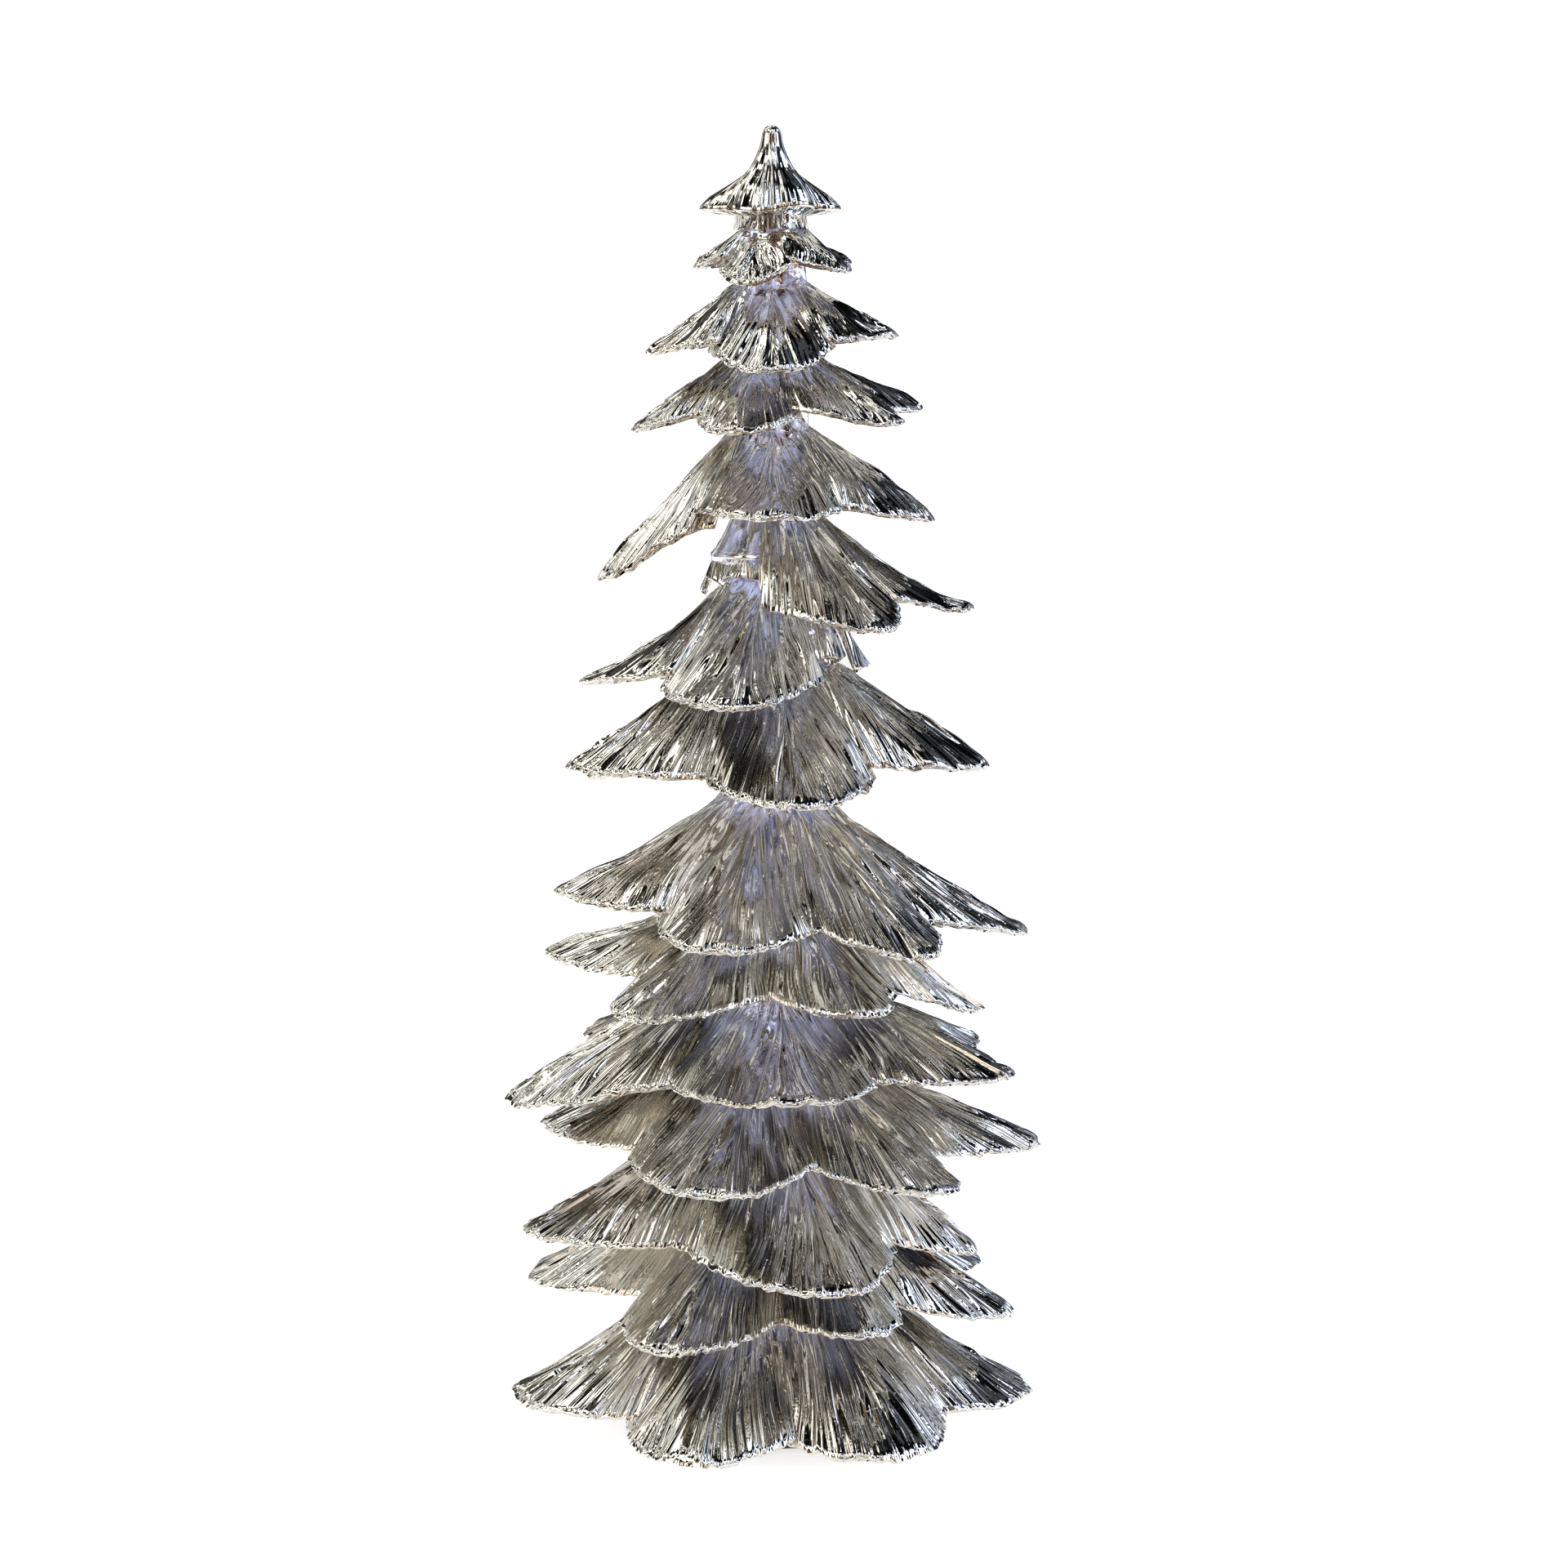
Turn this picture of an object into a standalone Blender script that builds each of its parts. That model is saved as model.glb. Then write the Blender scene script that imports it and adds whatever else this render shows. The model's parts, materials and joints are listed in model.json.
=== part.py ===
"""A light-up tabletop fir tree.

Moulded, silver-plated skirts of branch fans are threaded on a tapered clear stem. The stem holds a
narrow board of LEDs and stands in a round battery case, which is hidden inside the lowest skirt.
The case takes three AAA cells from below, through a hinged door, and has a slide switch.

Frame: +Z up, origin on the tabletop under the stem, -Y towards the front, +X to the right.
An azimuth is 0 at the front and grows towards the right, in degrees.
"""

import math

import bmesh
import bpy
from mathutils import Matrix, Vector

MM = 0.001

# ---------------------------------------------------------------- driving dimensions, in millimetres
TREE_HEIGHT = 310.0
TREE_REACH = 64.5  # from the stem's axis to the tip of the longest fan
FAN_WALL = 1.6  # thickness of a moulded skirt
CAP_WALL = 1.3
COLLAR_WALL = 2.0

STEM_FOOT_RADIUS = 12.0
STEM_TOP_RADIUS = 6.0
STEM_WALL = 1.5

CASE_WALL = 1.5
CASE_ROOF = 1.6
CASE_EDGE = 3.0  # chamfer round the top of the case
SOCKET_DEPTH = 5.9  # height of the ring on the case that holds the stem
LEAD_ROOM = 2.3  # space over the cells for the leads
PLATE_THICKNESS = 2.0
PLATE_EDGE = 0.6  # chamfer round the underside of the base plate
FOOT_HEIGHT = 0.9
FOOT_RADIUS = 3.2

CELL_RADIUS = 5.25
CELL_LENGTH = 44.5
CELL_NUB_LENGTH = 1.0
CELL_NUB_RADIUS = 1.9
CELL_GAP = 0.5
SPRING_LENGTH = 4.4
SPRING_WIRE_RADIUS = 0.3
CONTACT_THICKNESS = 0.4

LED_BOARD_WIDTH = 8.0
LED_BOARD_THICKNESS = 1.0
LED_SIZE = (3.5, 1.4, 2.8)
LED_COUNT = 9
HOLDER_HEIGHT = 3.0
LEAD_RADIUS = 0.6

SWITCH_TRAVEL = 2.4
DOOR_BARREL_RADIUS = 1.4
DOOR_PIN_RADIUS = 0.7
SCREW_SHANK_RADIUS = 1.0
SCREW_HEAD_RADIUS = 2.0
SCREW_HEAD_HEIGHT = 1.1
SCREW_LENGTH = 8.5

TOUCH = 0.3  # the gap between two pieces that rest on each other
FIT = 0.4  # the gap round a piece that moves or is slid in

# ---------------------------------------------------------------- heights of the case, bottom to top
PLATE_BOTTOM = FOOT_HEIGHT + TOUCH
PLATE_TOP = PLATE_BOTTOM + PLATE_THICKNESS
CASE_BOTTOM = PLATE_TOP + TOUCH
CELL_AXIS = PLATE_TOP + 2 * TOUCH + 0.1 + CELL_RADIUS
CASE_CEILING = CELL_AXIS + CELL_RADIUS + LEAD_ROOM
CASE_TOP = CASE_CEILING + CASE_ROOF
SOCKET_TOP = CASE_TOP + SOCKET_DEPTH
STEM_BOTTOM = CASE_TOP + TOUCH
WALL_FOOT = PLATE_TOP + 2.0  # the bay's walls end here, above the door's hinge

# ---------------------------------------------------------------- the cell bay
CELL_PITCH = 2 * CELL_RADIUS + CELL_GAP
BAY_HALF_WIDTH = 1.5 * CELL_PITCH + 0.7
BAY_HALF_LENGTH = (CELL_LENGTH + SPRING_LENGTH + CONTACT_THICKNESS * 2 + 4 * TOUCH) / 2 + 0.15
BAY_WALL = 1.2

# ---------------------------------------------------------------- the door and its hinge
DOOR_HALF_WIDTH = BAY_HALF_WIDTH - 0.35
DOOR_END = BAY_HALF_LENGTH
HINGE_X = -(BAY_HALF_LENGTH - 1.0)
HINGE_Z = PLATE_BOTTOM + DOOR_BARREL_RADIUS
BARREL_HALF_LENGTH = 10.0
PIN_REACH = 2.6
EAR_WIDTH = 3.0
EAR_HALF_DEPTH = 1.6
LATCH_SIZE = (1.2, 8.0, 1.6)

# ---------------------------------------------------------------- places round the case
BOARD_SIZE = (28.0, 8.4, 1.2)
BOARD_Y = BAY_HALF_WIDTH + BAY_WALL + TOUCH + BOARD_SIZE[1] / 2
BOARD_Z = 10.6
BOARD_POST_RADIUS = 1.6
BOSS_RADIUS = 2.5
SCREW_X = BOARD_SIZE[0] / 2 + BOSS_RADIUS + 3.0
SCREW_Y = BAY_HALF_WIDTH + BAY_WALL + BOSS_RADIUS + 0.9
SCREW_PLACES = [(x, y) for x in (-SCREW_X, SCREW_X) for y in (-SCREW_Y, SCREW_Y)]
BAY_CORNER = math.hypot(BAY_HALF_LENGTH + BAY_WALL, BAY_HALF_WIDTH)
BOARD_CORNER = math.hypot(BOARD_SIZE[0] / 2, BOARD_Y + BOARD_SIZE[1] / 2)
BOSS_REACH = math.hypot(SCREW_X, SCREW_Y) + BOSS_RADIUS
CASE_RADIUS = max(BAY_CORNER, BOARD_CORNER, BOSS_REACH) + CASE_EDGE
SWITCH_BODY_SIZE = (8.6, 4.0, 5.0)
SWITCH_STEM_SIZE = (1.6, 1.4, 2.5)
KNOB_SIZE = (3.0, 2.2, 4.3)
KNOB_BOTTOM = 0.5

# ---------------------------------------------------------------- the skirts
# Heights and reaches below are those of a tree this high and this wide. They follow TREE_HEIGHT
# and TREE_REACH. A skirt is (name, rim height, drop from collar to rim, valley reach, arch of the
# rim between fans, fans), and a fan is (azimuth, reach, lift of its tip above the rim height).
TABLE_HEIGHT = 310.0
TABLE_REACH = 64.5
FAN_HALF_ANGLE = 37.0
FAN_ROUNDNESS = 0.75  # below 1 a fan's rim is broader than a cosine
SKIRT_CURVE = 1.35  # above 1 a skirt is steep at its collar and flat at its rim

SKIRTS = [
    ("skirt_02", 276, 10, 13.0, 1.5, [
        (-90, 18.1, 2), (-25, 17.5, -1), (75, 18.8, 2), (140, 17, 0), (-150, 17, 0),
    ]),
    ("skirt_03", 256, 18, 18.0, 4.0, [
        (-85, 29.5, 1), (0, 30, -2), (80, 30, 5), (145, 29, 1), (-150, 30, -1),
    ]),
    ("skirt_04", 240, 18, 23.0, 3.5, [
        (-75, 33.5, -1), (-20, 31, -1), (50, 37.5, 1), (105, 37, 4), (180, 34, 0), (-130, 34, 0),
    ]),
    ("skirt_05", 218, 22, 26.0, 3.5, [
        (-80, 41.5, -14), (0, 40, 2), (80, 38.5, 0), (140, 38, 1), (-125, 36, -3),
    ]),
    ("skirt_06", 197, 25, 27.0, 4.0, [
        (35, 44, -3), (85, 48, 0), (150, 44, 1), (-150, 43, -2),
    ]),
    ("skirt_07", 178, 27, 28.0, 4.0, [
        (-90, 45.7, 1), (-12, 46, -1), (135, 45, 1), (-160, 46, -1),
    ]),
    ("skirt_08", 157, 30, 34.0, 4.0, [
        (-72, 50, 3), (8, 50, -2), (78, 52.2, 3), (135, 50, -2), (-120, 50, -4), (180, 49, 0),
    ]),
    ("skirt_09", 122, 31, 38.0, 4.0, [
        (-80, 52.5, 8), (-14, 52, 0), (42, 54, -3), (90, 61.4, -3), (145, 56, 2), (-140, 54, -1),
    ]),
    ("skirt_10", 104, 24, 34.0, 4.0, [
        (-42, 50, 0), (-110, 58.3, 7), (110, 54, -8), (175, 55, 0),
    ]),
    ("skirt_11", 84, 26, 38.0, 4.0, [
        (-80, 64.5, -4), (5, 56, 4), (72, 59.5, 3), (128, 62, 2), (-135, 62, 4), (180, 58, 0),
    ]),
    ("skirt_12", 66, 27, 38.0, 4.5, [
        (-115, 60.5, 2), (-14, 56, 0), (46, 58, -2), (90, 64.5, 1), (150, 59, 0), (-165, 58.5, 0),
    ]),
    ("skirt_13", 46, 30, 38.0, 4.5, [
        (-75, 61, 3), (16, 56, -3), (150, 59, 0), (-140, 60, -2), (85, 50, -4),
    ]),
    ("skirt_14", 29, 30, 40.0, 4.0, [
        (-110, 63.4, 1), (-25, 58, 0), (78, 59, -1), (122, 60, 2), (175, 58, 0), (28, 50, 2),
    ]),
]

# The lowest skirt goes over the case, so its height and its valleys follow the case.
FOOT_SKIRT_NAME = "skirt_15"
FOOT_SKIRT_CURVE = 1.05
FOOT_SKIRT_RIM = PLATE_TOP + 1.3
FOOT_SKIRT_TOP = SOCKET_TOP + 16.3
FOOT_SKIRT_VALLEY = CASE_RADIUS + 15.0
FOOT_SKIRT_ARCH = 2.5
FOOT_SKIRT_FANS = [
    (-72, 63.3, 4), (-20, 59, -1), (32, 59, -1), (88, 63, 2), (145, 62, -1), (-145, 62, -1),
]

CAP_RIM = 291.5
CAP_VALLEY = 11.0
CAP_ARCH = 0.8
CAP_FANS = [
    (-90, 15.4, 0), (-30, 13, 1), (35, 13, 1), (90, 15.4, 0), (160, 14, 0), (-150, 14, 0.5),
]
# The cap's outline above its rim, as (radius, depth below the tip).
CAP_OUTLINE = [(2.0, 1.3), (3.2, 5.0), (5.0, 10.0), (9.0, 15.0)]

LIFT_SCALE = TREE_HEIGHT / TABLE_HEIGHT
REACH_SCALE = TREE_REACH / TABLE_REACH
STEM_TOP = (CAP_RIM - 2.0) * LIFT_SCALE
CAP_SOCKET_TOP = STEM_TOP + TOUCH


# ---------------------------------------------------------------- shared helpers
def linear(hex_colour):
    """An sRGB hex colour as the linear RGBA that a shader takes."""
    channels = [int(hex_colour[i : i + 2], 16) / 255 for i in (0, 2, 4)]
    return [((c + 0.055) / 1.055) ** 2.4 if c > 0.04045 else c / 12.92 for c in channels] + [1.0]


def make_material(name, hex_colour, metallic, roughness):
    material = bpy.data.materials.new(name)
    material.use_nodes = True
    shader = material.node_tree.nodes["Principled BSDF"]
    shader.inputs["Base Color"].default_value = linear(hex_colour)
    shader.inputs["Metallic"].default_value = metallic
    shader.inputs["Roughness"].default_value = roughness
    return material


def make_object(name, mesh, material, parent=None):
    obj = bpy.data.objects.new(name, mesh)
    bpy.context.scene.collection.objects.link(obj)
    obj.parent = parent
    if material:
        mesh.materials.append(material)
    return obj


def finish_mesh(bm, name, smooth=True):
    """Turns a bmesh, in millimetres, into a mesh in metres with its faces pointing out."""
    bmesh.ops.recalc_face_normals(bm, faces=bm.faces)
    bmesh.ops.scale(bm, vec=Vector((MM, MM, MM)), verts=bm.verts)
    mesh = bpy.data.meshes.new(name)
    bm.to_mesh(mesh)
    bm.free()
    if smooth:
        mesh.shade_smooth()
        mesh.set_sharp_from_angle(angle=math.radians(35))
    return mesh


def turned_mesh(name, outline, segments):
    """A solid turned about Z. The outline is (radius, height) pairs, and a radius of 0 is a point."""
    bm = bmesh.new()
    rings = []
    for radius, height in outline:
        if radius == 0:
            rings.append([bm.verts.new((0, 0, height))])
            continue
        turns = [2 * math.pi * i / segments for i in range(segments)]
        rings.append([bm.verts.new((radius * math.cos(a), radius * math.sin(a), height)) for a in turns])
    closed = outline[0][0] > 0
    pairs = list(zip(rings, rings[1:] + rings[:1] if closed else rings[1:]))
    for one, two in pairs:
        for i in range(segments):
            j = (i + 1) % segments
            corners = [one[i % len(one)], one[j % len(one)], two[j % len(two)], two[i % len(two)]]
            bm.faces.new(list(dict.fromkeys(corners)))
    return finish_mesh(bm, name)


def box_mesh(name, size, centre, bevel=0.0):
    bm = bmesh.new()
    bmesh.ops.create_cube(bm, size=1.0)
    bmesh.ops.scale(bm, vec=Vector(size), verts=bm.verts)
    bmesh.ops.translate(bm, vec=Vector(centre), verts=bm.verts)
    if bevel:
        upright = [e for e in bm.edges if abs(e.verts[0].co.z - e.verts[1].co.z) > size[2] / 2]
        bmesh.ops.bevel(bm, geom=upright, offset=bevel, segments=2, profile=0.5, affect="EDGES")
    return finish_mesh(bm, name, smooth=False)


def rod_mesh(name, radius, length, centre, axis, segments=16):
    bm = bmesh.new()
    bmesh.ops.create_cone(bm, cap_ends=True, segments=segments, radius1=radius, radius2=radius, depth=length)
    turn = Vector((0, 0, 1)).rotation_difference(Vector(axis)).to_matrix()
    bmesh.ops.rotate(bm, matrix=turn, verts=bm.verts)
    bmesh.ops.translate(bm, vec=Vector(centre), verts=bm.verts)
    return finish_mesh(bm, name)


def combine(obj, mesh, operation):
    """Joins a shape to the object, or cuts it out, with a Boolean whose helper isn't drawn."""
    helper = make_object(f"{obj.name}_{mesh.name}", mesh, None, obj.parent)
    helper.hide_render = True
    helper.display_type = "WIRE"
    modifier = obj.modifiers.new(mesh.name, "BOOLEAN")
    modifier.operation = operation
    modifier.object = helper


def stem_radius(height):
    """The stem's outside radius at this height."""
    share = (height - STEM_BOTTOM) / (STEM_TOP - STEM_BOTTOM)
    return STEM_FOOT_RADIUS + (STEM_TOP_RADIUS - STEM_FOOT_RADIUS) * share


def bore_radius(height):
    return stem_radius(height) + TOUCH


def collar_radius(height):
    return bore_radius(height) + COLLAR_WALL


# ---------------------------------------------------------------- skirts of branch fans
def fan_weight(azimuth, fan_azimuth):
    """1 on a fan's middle line, falling to 0 at its edges."""
    away = abs((azimuth - fan_azimuth + 180) % 360 - 180) / FAN_HALF_ANGLE
    return math.cos(min(away, 1.0) * math.pi / 2) ** FAN_ROUNDNESS


def rim_at(azimuth, valley, arch, fans):
    """A skirt's reach at this azimuth, and how far its rim is above its rim height."""
    weights = [fan_weight(azimuth, fan[0]) for fan in fans]
    reach = valley + max((fan[1] * REACH_SCALE - valley) * w for fan, w in zip(fans, weights))
    total = sum(w * w for w in weights)
    lift = sum(w * w * fan[2] for w, fan in zip(weights, fans)) / max(total, 0.05)
    return reach, lift + arch * (1 - min(1.0, total))


def skirt_section(collar_top, collar_bottom, reach, rim_height, curve):
    """One closed cross-section of a skirt, from the bore over the top to the rim and back under."""
    shoulder = collar_radius(collar_top)
    fall = collar_top - rim_height
    steepness = curve * fall / (reach - shoulder)
    upper, lower = [], []
    for t in (0.3, 0.65, 1.0):
        radius = shoulder + (reach - shoulder) * t
        height = collar_top - fall * (1 - (1 - t) ** curve)
        slope = steepness * max(1 - t, 0.08) ** (curve - 1)
        upper.append((radius, height))
        lower.insert(0, (radius, height - FAN_WALL * math.hypot(1, slope)))
    junction = collar_top - FAN_WALL * math.hypot(1, steepness)
    section = [(bore_radius(collar_bottom), collar_bottom), (bore_radius(collar_top), collar_top)]
    section += [(shoulder, collar_top)] + upper + lower
    section += [(collar_radius(junction), junction), (collar_radius(collar_bottom), collar_bottom)]
    return section


def lofted_mesh(name, sections):
    """Joins cross-sections, one for each azimuth, into a closed ring. Radius 0 is on the axis."""
    bm = bmesh.new()
    poles = {}
    columns = []
    for i, section in enumerate(sections):
        azimuth = 2 * math.pi * i / len(sections)
        column = []
        for radius, height in section:
            if radius == 0:
                if height not in poles:
                    poles[height] = bm.verts.new((0, 0, height))
                column.append(poles[height])
            else:
                place = (radius * math.sin(azimuth), -radius * math.cos(azimuth), height)
                column.append(bm.verts.new(place))
        columns.append(column)
    closing = 0 if poles else 1
    for column, beside in zip(columns, columns[1:] + columns[:1]):
        for k in range(len(column) - 1 + closing):
            n = (k + 1) % len(column)
            corners = [column[k], column[n], beside[n], beside[k]]
            bm.faces.new(list(dict.fromkeys(corners)))
    return finish_mesh(bm, name)


def skirt_layout():
    """Each skirt as (name, rim height, collar top, valley reach, arch, fans, curve), top to bottom."""
    layout = []
    for name, rim, drop, valley, arch, fans in SKIRTS:
        top = (rim + drop) * LIFT_SCALE
        layout.append((name, rim * LIFT_SCALE, top, valley * REACH_SCALE, arch, fans, SKIRT_CURVE))
    foot = (FOOT_SKIRT_NAME, FOOT_SKIRT_RIM, FOOT_SKIRT_TOP, FOOT_SKIRT_VALLEY, FOOT_SKIRT_ARCH)
    layout.append((*foot, FOOT_SKIRT_FANS, FOOT_SKIRT_CURVE))
    return layout


def build_skirts(material, parent):
    layout = skirt_layout()
    bottoms = [skirt[2] + TOUCH for skirt in layout[1:]] + [SOCKET_TOP + TOUCH]
    for (name, rim, top, valley, arch, fans, curve), bottom in zip(layout, bottoms):
        widest = max(fan[1] for fan in fans)
        count = 20 if widest < 32 else 24 if widest < 50 else 30
        sections = []
        for i in range(count):
            reach, lift = rim_at(360 * i / count, valley, arch, fans)
            sections.append(skirt_section(top, bottom, reach, rim + lift * LIFT_SCALE, curve))
        make_object(name, lofted_mesh(name, sections), material, parent)


def build_cap(material, parent):
    """The tree's tip, with a blind socket that sits on the stem's end."""
    sections = []
    collar_bottom = skirt_layout()[0][2] + TOUCH
    socket_top = STEM_TOP + TOUCH
    count = 20
    for i in range(count):
        reach, lift = rim_at(360 * i / count, CAP_VALLEY * REACH_SCALE, CAP_ARCH, CAP_FANS)
        height = (CAP_RIM + lift) * LIFT_SCALE
        junction = height - 1.7 * CAP_WALL
        section = [(0, TREE_HEIGHT)]
        section += [(r * REACH_SCALE, TREE_HEIGHT - down * LIFT_SCALE) for r, down in CAP_OUTLINE]
        section += [(reach, height), (reach, height - CAP_WALL)]
        section += [(collar_radius(junction), junction)]
        section += [(collar_radius(collar_bottom), collar_bottom)]
        section += [(bore_radius(collar_bottom), collar_bottom)]
        section += [(bore_radius(socket_top), socket_top), (0, socket_top)]
        sections.append(section)
    make_object("cap", lofted_mesh("cap", sections), material, parent)


# ---------------------------------------------------------------- stem, LED board and its holder
def build_stem(material, parent):
    outline = [
        (STEM_FOOT_RADIUS, STEM_BOTTOM),
        (STEM_TOP_RADIUS, STEM_TOP),
        (STEM_TOP_RADIUS - STEM_WALL, STEM_TOP),
        (STEM_FOOT_RADIUS - STEM_WALL, STEM_BOTTOM),
    ]
    make_object("clear_stem", turned_mesh("clear_stem", outline, 24), material, parent)


def build_led_board(board_material, led_material, holder_material, parent):
    holder_bottom = STEM_BOTTOM + TOUCH
    holder_top = holder_bottom + HOLDER_HEIGHT
    holder_radius = stem_radius(holder_top) - STEM_WALL - TOUCH
    outline = [(0, holder_bottom), (holder_radius, holder_bottom)]
    outline += [(holder_radius, holder_top), (0, holder_top)]
    holder = make_object("board_holder", turned_mesh("board_holder", outline, 20), holder_material, parent)
    slot = (LED_BOARD_WIDTH + 2 * TOUCH, LED_BOARD_THICKNESS + 2 * TOUCH, HOLDER_HEIGHT * 2)
    combine(holder, box_mesh("slot", slot, (0, 0, holder_bottom + HOLDER_HEIGHT / 2)), "DIFFERENCE")

    # The board ends where the stem's bore gets too narrow for its width and its LEDs.
    half_diagonal = math.hypot(LED_BOARD_WIDTH / 2, LED_BOARD_THICKNESS / 2) + TOUCH
    taper = (STEM_FOOT_RADIUS - STEM_TOP_RADIUS) / (STEM_TOP - STEM_BOTTOM)
    highest = STEM_BOTTOM + (STEM_FOOT_RADIUS - STEM_WALL - half_diagonal) / max(taper, 0.001)
    top = min(highest, STEM_TOP - 4.0)
    length = top - holder_bottom
    size = (LED_BOARD_WIDTH, LED_BOARD_THICKNESS, length)
    mesh = box_mesh("led_board", size, (0, 0, holder_bottom + length / 2))
    make_object("led_board", mesh, board_material, parent)

    first = holder_top + 16.0
    pitch = (top - 8.0 - first) / (LED_COUNT - 1)
    for i in range(LED_COUNT):
        side = -1 if i % 2 == 0 else 1
        y = side * (LED_BOARD_THICKNESS / 2 + TOUCH + LED_SIZE[1] / 2)
        name = f"led_{i + 1}"
        make_object(name, box_mesh(name, LED_SIZE, (0, y, first + i * pitch)), led_material, parent)


# ---------------------------------------------------------------- battery case
def build_case(material, parent):
    hole = STEM_FOOT_RADIUS - 3.0
    socket = STEM_FOOT_RADIUS + TOUCH
    inner = CASE_RADIUS - CASE_WALL
    outline = [
        (CASE_RADIUS, CASE_BOTTOM),
        (CASE_RADIUS, CASE_TOP - CASE_EDGE),
        (CASE_RADIUS - CASE_EDGE, CASE_TOP),
        (socket + COLLAR_WALL, CASE_TOP),
        (socket + COLLAR_WALL, SOCKET_TOP),
        (socket, SOCKET_TOP),
        (socket, CASE_TOP),
        (hole, CASE_TOP),
        (hole, CASE_CEILING),
        (inner - CASE_EDGE, CASE_CEILING),
        (inner, CASE_CEILING - CASE_EDGE),
        (inner, CASE_BOTTOM),
    ]
    case = make_object("case_body", turned_mesh("case_body", outline, 36), material, parent)

    # Walls, bosses and posts end halfway into the roof.
    wall_top = CASE_CEILING + CASE_ROOF / 2
    wall_height = wall_top - WALL_FOOT
    wall_z = WALL_FOOT + wall_height / 2
    for label, side in (("front_wall", -1), ("back_wall", 1)):
        y = side * (BAY_HALF_WIDTH + BAY_WALL / 2)
        size = (2 * BAY_HALF_LENGTH + 0.2, BAY_WALL, wall_height)
        combine(case, box_mesh(label, size, (0, y, wall_z)), "UNION")
    for label, side in (("left_wall", -1), ("right_wall", 1)):
        x = side * (BAY_HALF_LENGTH + BAY_WALL / 2)
        size = (BAY_WALL, 2 * BAY_HALF_WIDTH + 0.2, wall_height)
        combine(case, box_mesh(label, size, (x, 0, wall_z)), "UNION")
    boss_height = wall_top - CASE_BOTTOM - TOUCH
    for i, (x, y) in enumerate(SCREW_PLACES):
        centre = (x, y, CASE_BOTTOM + TOUCH + boss_height / 2)
        combine(case, rod_mesh(f"boss_{i}", BOSS_RADIUS, boss_height, centre, (0, 0, 1), 12), "UNION")
    board_top = BOARD_Z + BOARD_SIZE[2] + TOUCH
    for i, side in enumerate((-1, 1)):
        centre = (side * (BOARD_SIZE[0] / 2 - 3.0), BOARD_Y, (board_top + wall_top) / 2)
        post = rod_mesh(f"post_{i}", BOARD_POST_RADIUS, wall_top - board_top, centre, (0, 0, 1), 10)
        combine(case, post, "UNION")
    for i, (x, y) in enumerate(SCREW_PLACES):
        depth = SCREW_LENGTH + 2.0
        centre = (x, y, CASE_BOTTOM + depth / 2 - 1.0)
        pilot = rod_mesh(f"pilot_{i}", SCREW_SHANK_RADIUS + TOUCH, depth, centre, (0, 0, 1), 10)
        combine(case, pilot, "DIFFERENCE")
    # The leads go over the bay's back wall through this notch.
    notch = (20.0, 2 * BAY_WALL, LEAD_ROOM + 0.9)
    notch_at = (0, BAY_HALF_WIDTH + BAY_WALL / 2, CASE_CEILING - notch[2] / 2 + 0.01)
    combine(case, box_mesh("lead_notch", notch, notch_at), "DIFFERENCE")


def build_base_plate(material, parent):
    outline = [
        (0, PLATE_BOTTOM),
        (CASE_RADIUS - PLATE_EDGE, PLATE_BOTTOM),
        (CASE_RADIUS, PLATE_BOTTOM + PLATE_EDGE),
        (CASE_RADIUS, PLATE_TOP),
        (0, PLATE_TOP),
    ]
    plate = make_object("base_plate", turned_mesh("base_plate", outline, 36), material, parent)

    ear_bottom = PLATE_BOTTOM + 0.2
    ear_top = PLATE_TOP + 1.6
    ear_centre_y = BARREL_HALF_LENGTH + FIT + EAR_WIDTH / 2
    left = HINGE_X - DOOR_BARREL_RADIUS - 2 * FIT + 0.2
    for label, side in (("front_ear", -1), ("back_ear", 1)):
        size = (2 * EAR_HALF_DEPTH + 1.0, EAR_WIDTH, ear_top - ear_bottom)
        centre = (HINGE_X - 0.5, side * ear_centre_y, (ear_bottom + ear_top) / 2)
        combine(plate, box_mesh(label, size, centre), "UNION")

    deep = 4 * PLATE_THICKNESS
    right = DOOR_END + FIT
    main_left = HINGE_X + EAR_HALF_DEPTH
    size = (right - main_left, 2 * (DOOR_HALF_WIDTH + FIT), deep)
    combine(plate, box_mesh("opening", size, ((right + main_left) / 2, 0, PLATE_BOTTOM)), "DIFFERENCE")
    size = (main_left - left + 1.0, 2 * (BARREL_HALF_LENGTH + FIT), deep)
    centre = ((main_left + 1.0 + left) / 2, 0, PLATE_BOTTOM)
    combine(plate, box_mesh("hinge_opening", size, centre), "DIFFERENCE")
    length = 2 * (BARREL_HALF_LENGTH + PIN_REACH + FIT)
    centre = (HINGE_X, 0, HINGE_Z)
    pin_hole = rod_mesh("pin_holes", DOOR_PIN_RADIUS + TOUCH, length, centre, (0, 1, 0), 12)
    combine(plate, pin_hole, "DIFFERENCE")

    slot = (KNOB_SIZE[0] + SWITCH_TRAVEL + 2 * FIT, KNOB_SIZE[1] + 2 * FIT, deep)
    combine(plate, box_mesh("switch_slot", slot, (0, BOARD_Y, PLATE_BOTTOM)), "DIFFERENCE")
    for i, (x, y) in enumerate(SCREW_PLACES):
        hole = rod_mesh(f"hole_{i}", SCREW_SHANK_RADIUS + TOUCH, deep, (x, y, PLATE_BOTTOM), (0, 0, 1), 12)
        combine(plate, hole, "DIFFERENCE")
        sink_depth = SCREW_HEAD_HEIGHT + 2 * TOUCH
        centre = (x, y, PLATE_BOTTOM + sink_depth - 2.0)
        sink = rod_mesh(f"sink_{i}", SCREW_HEAD_RADIUS + TOUCH, 4.0, centre, (0, 0, 1), 16)
        combine(plate, sink, "DIFFERENCE")


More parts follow.
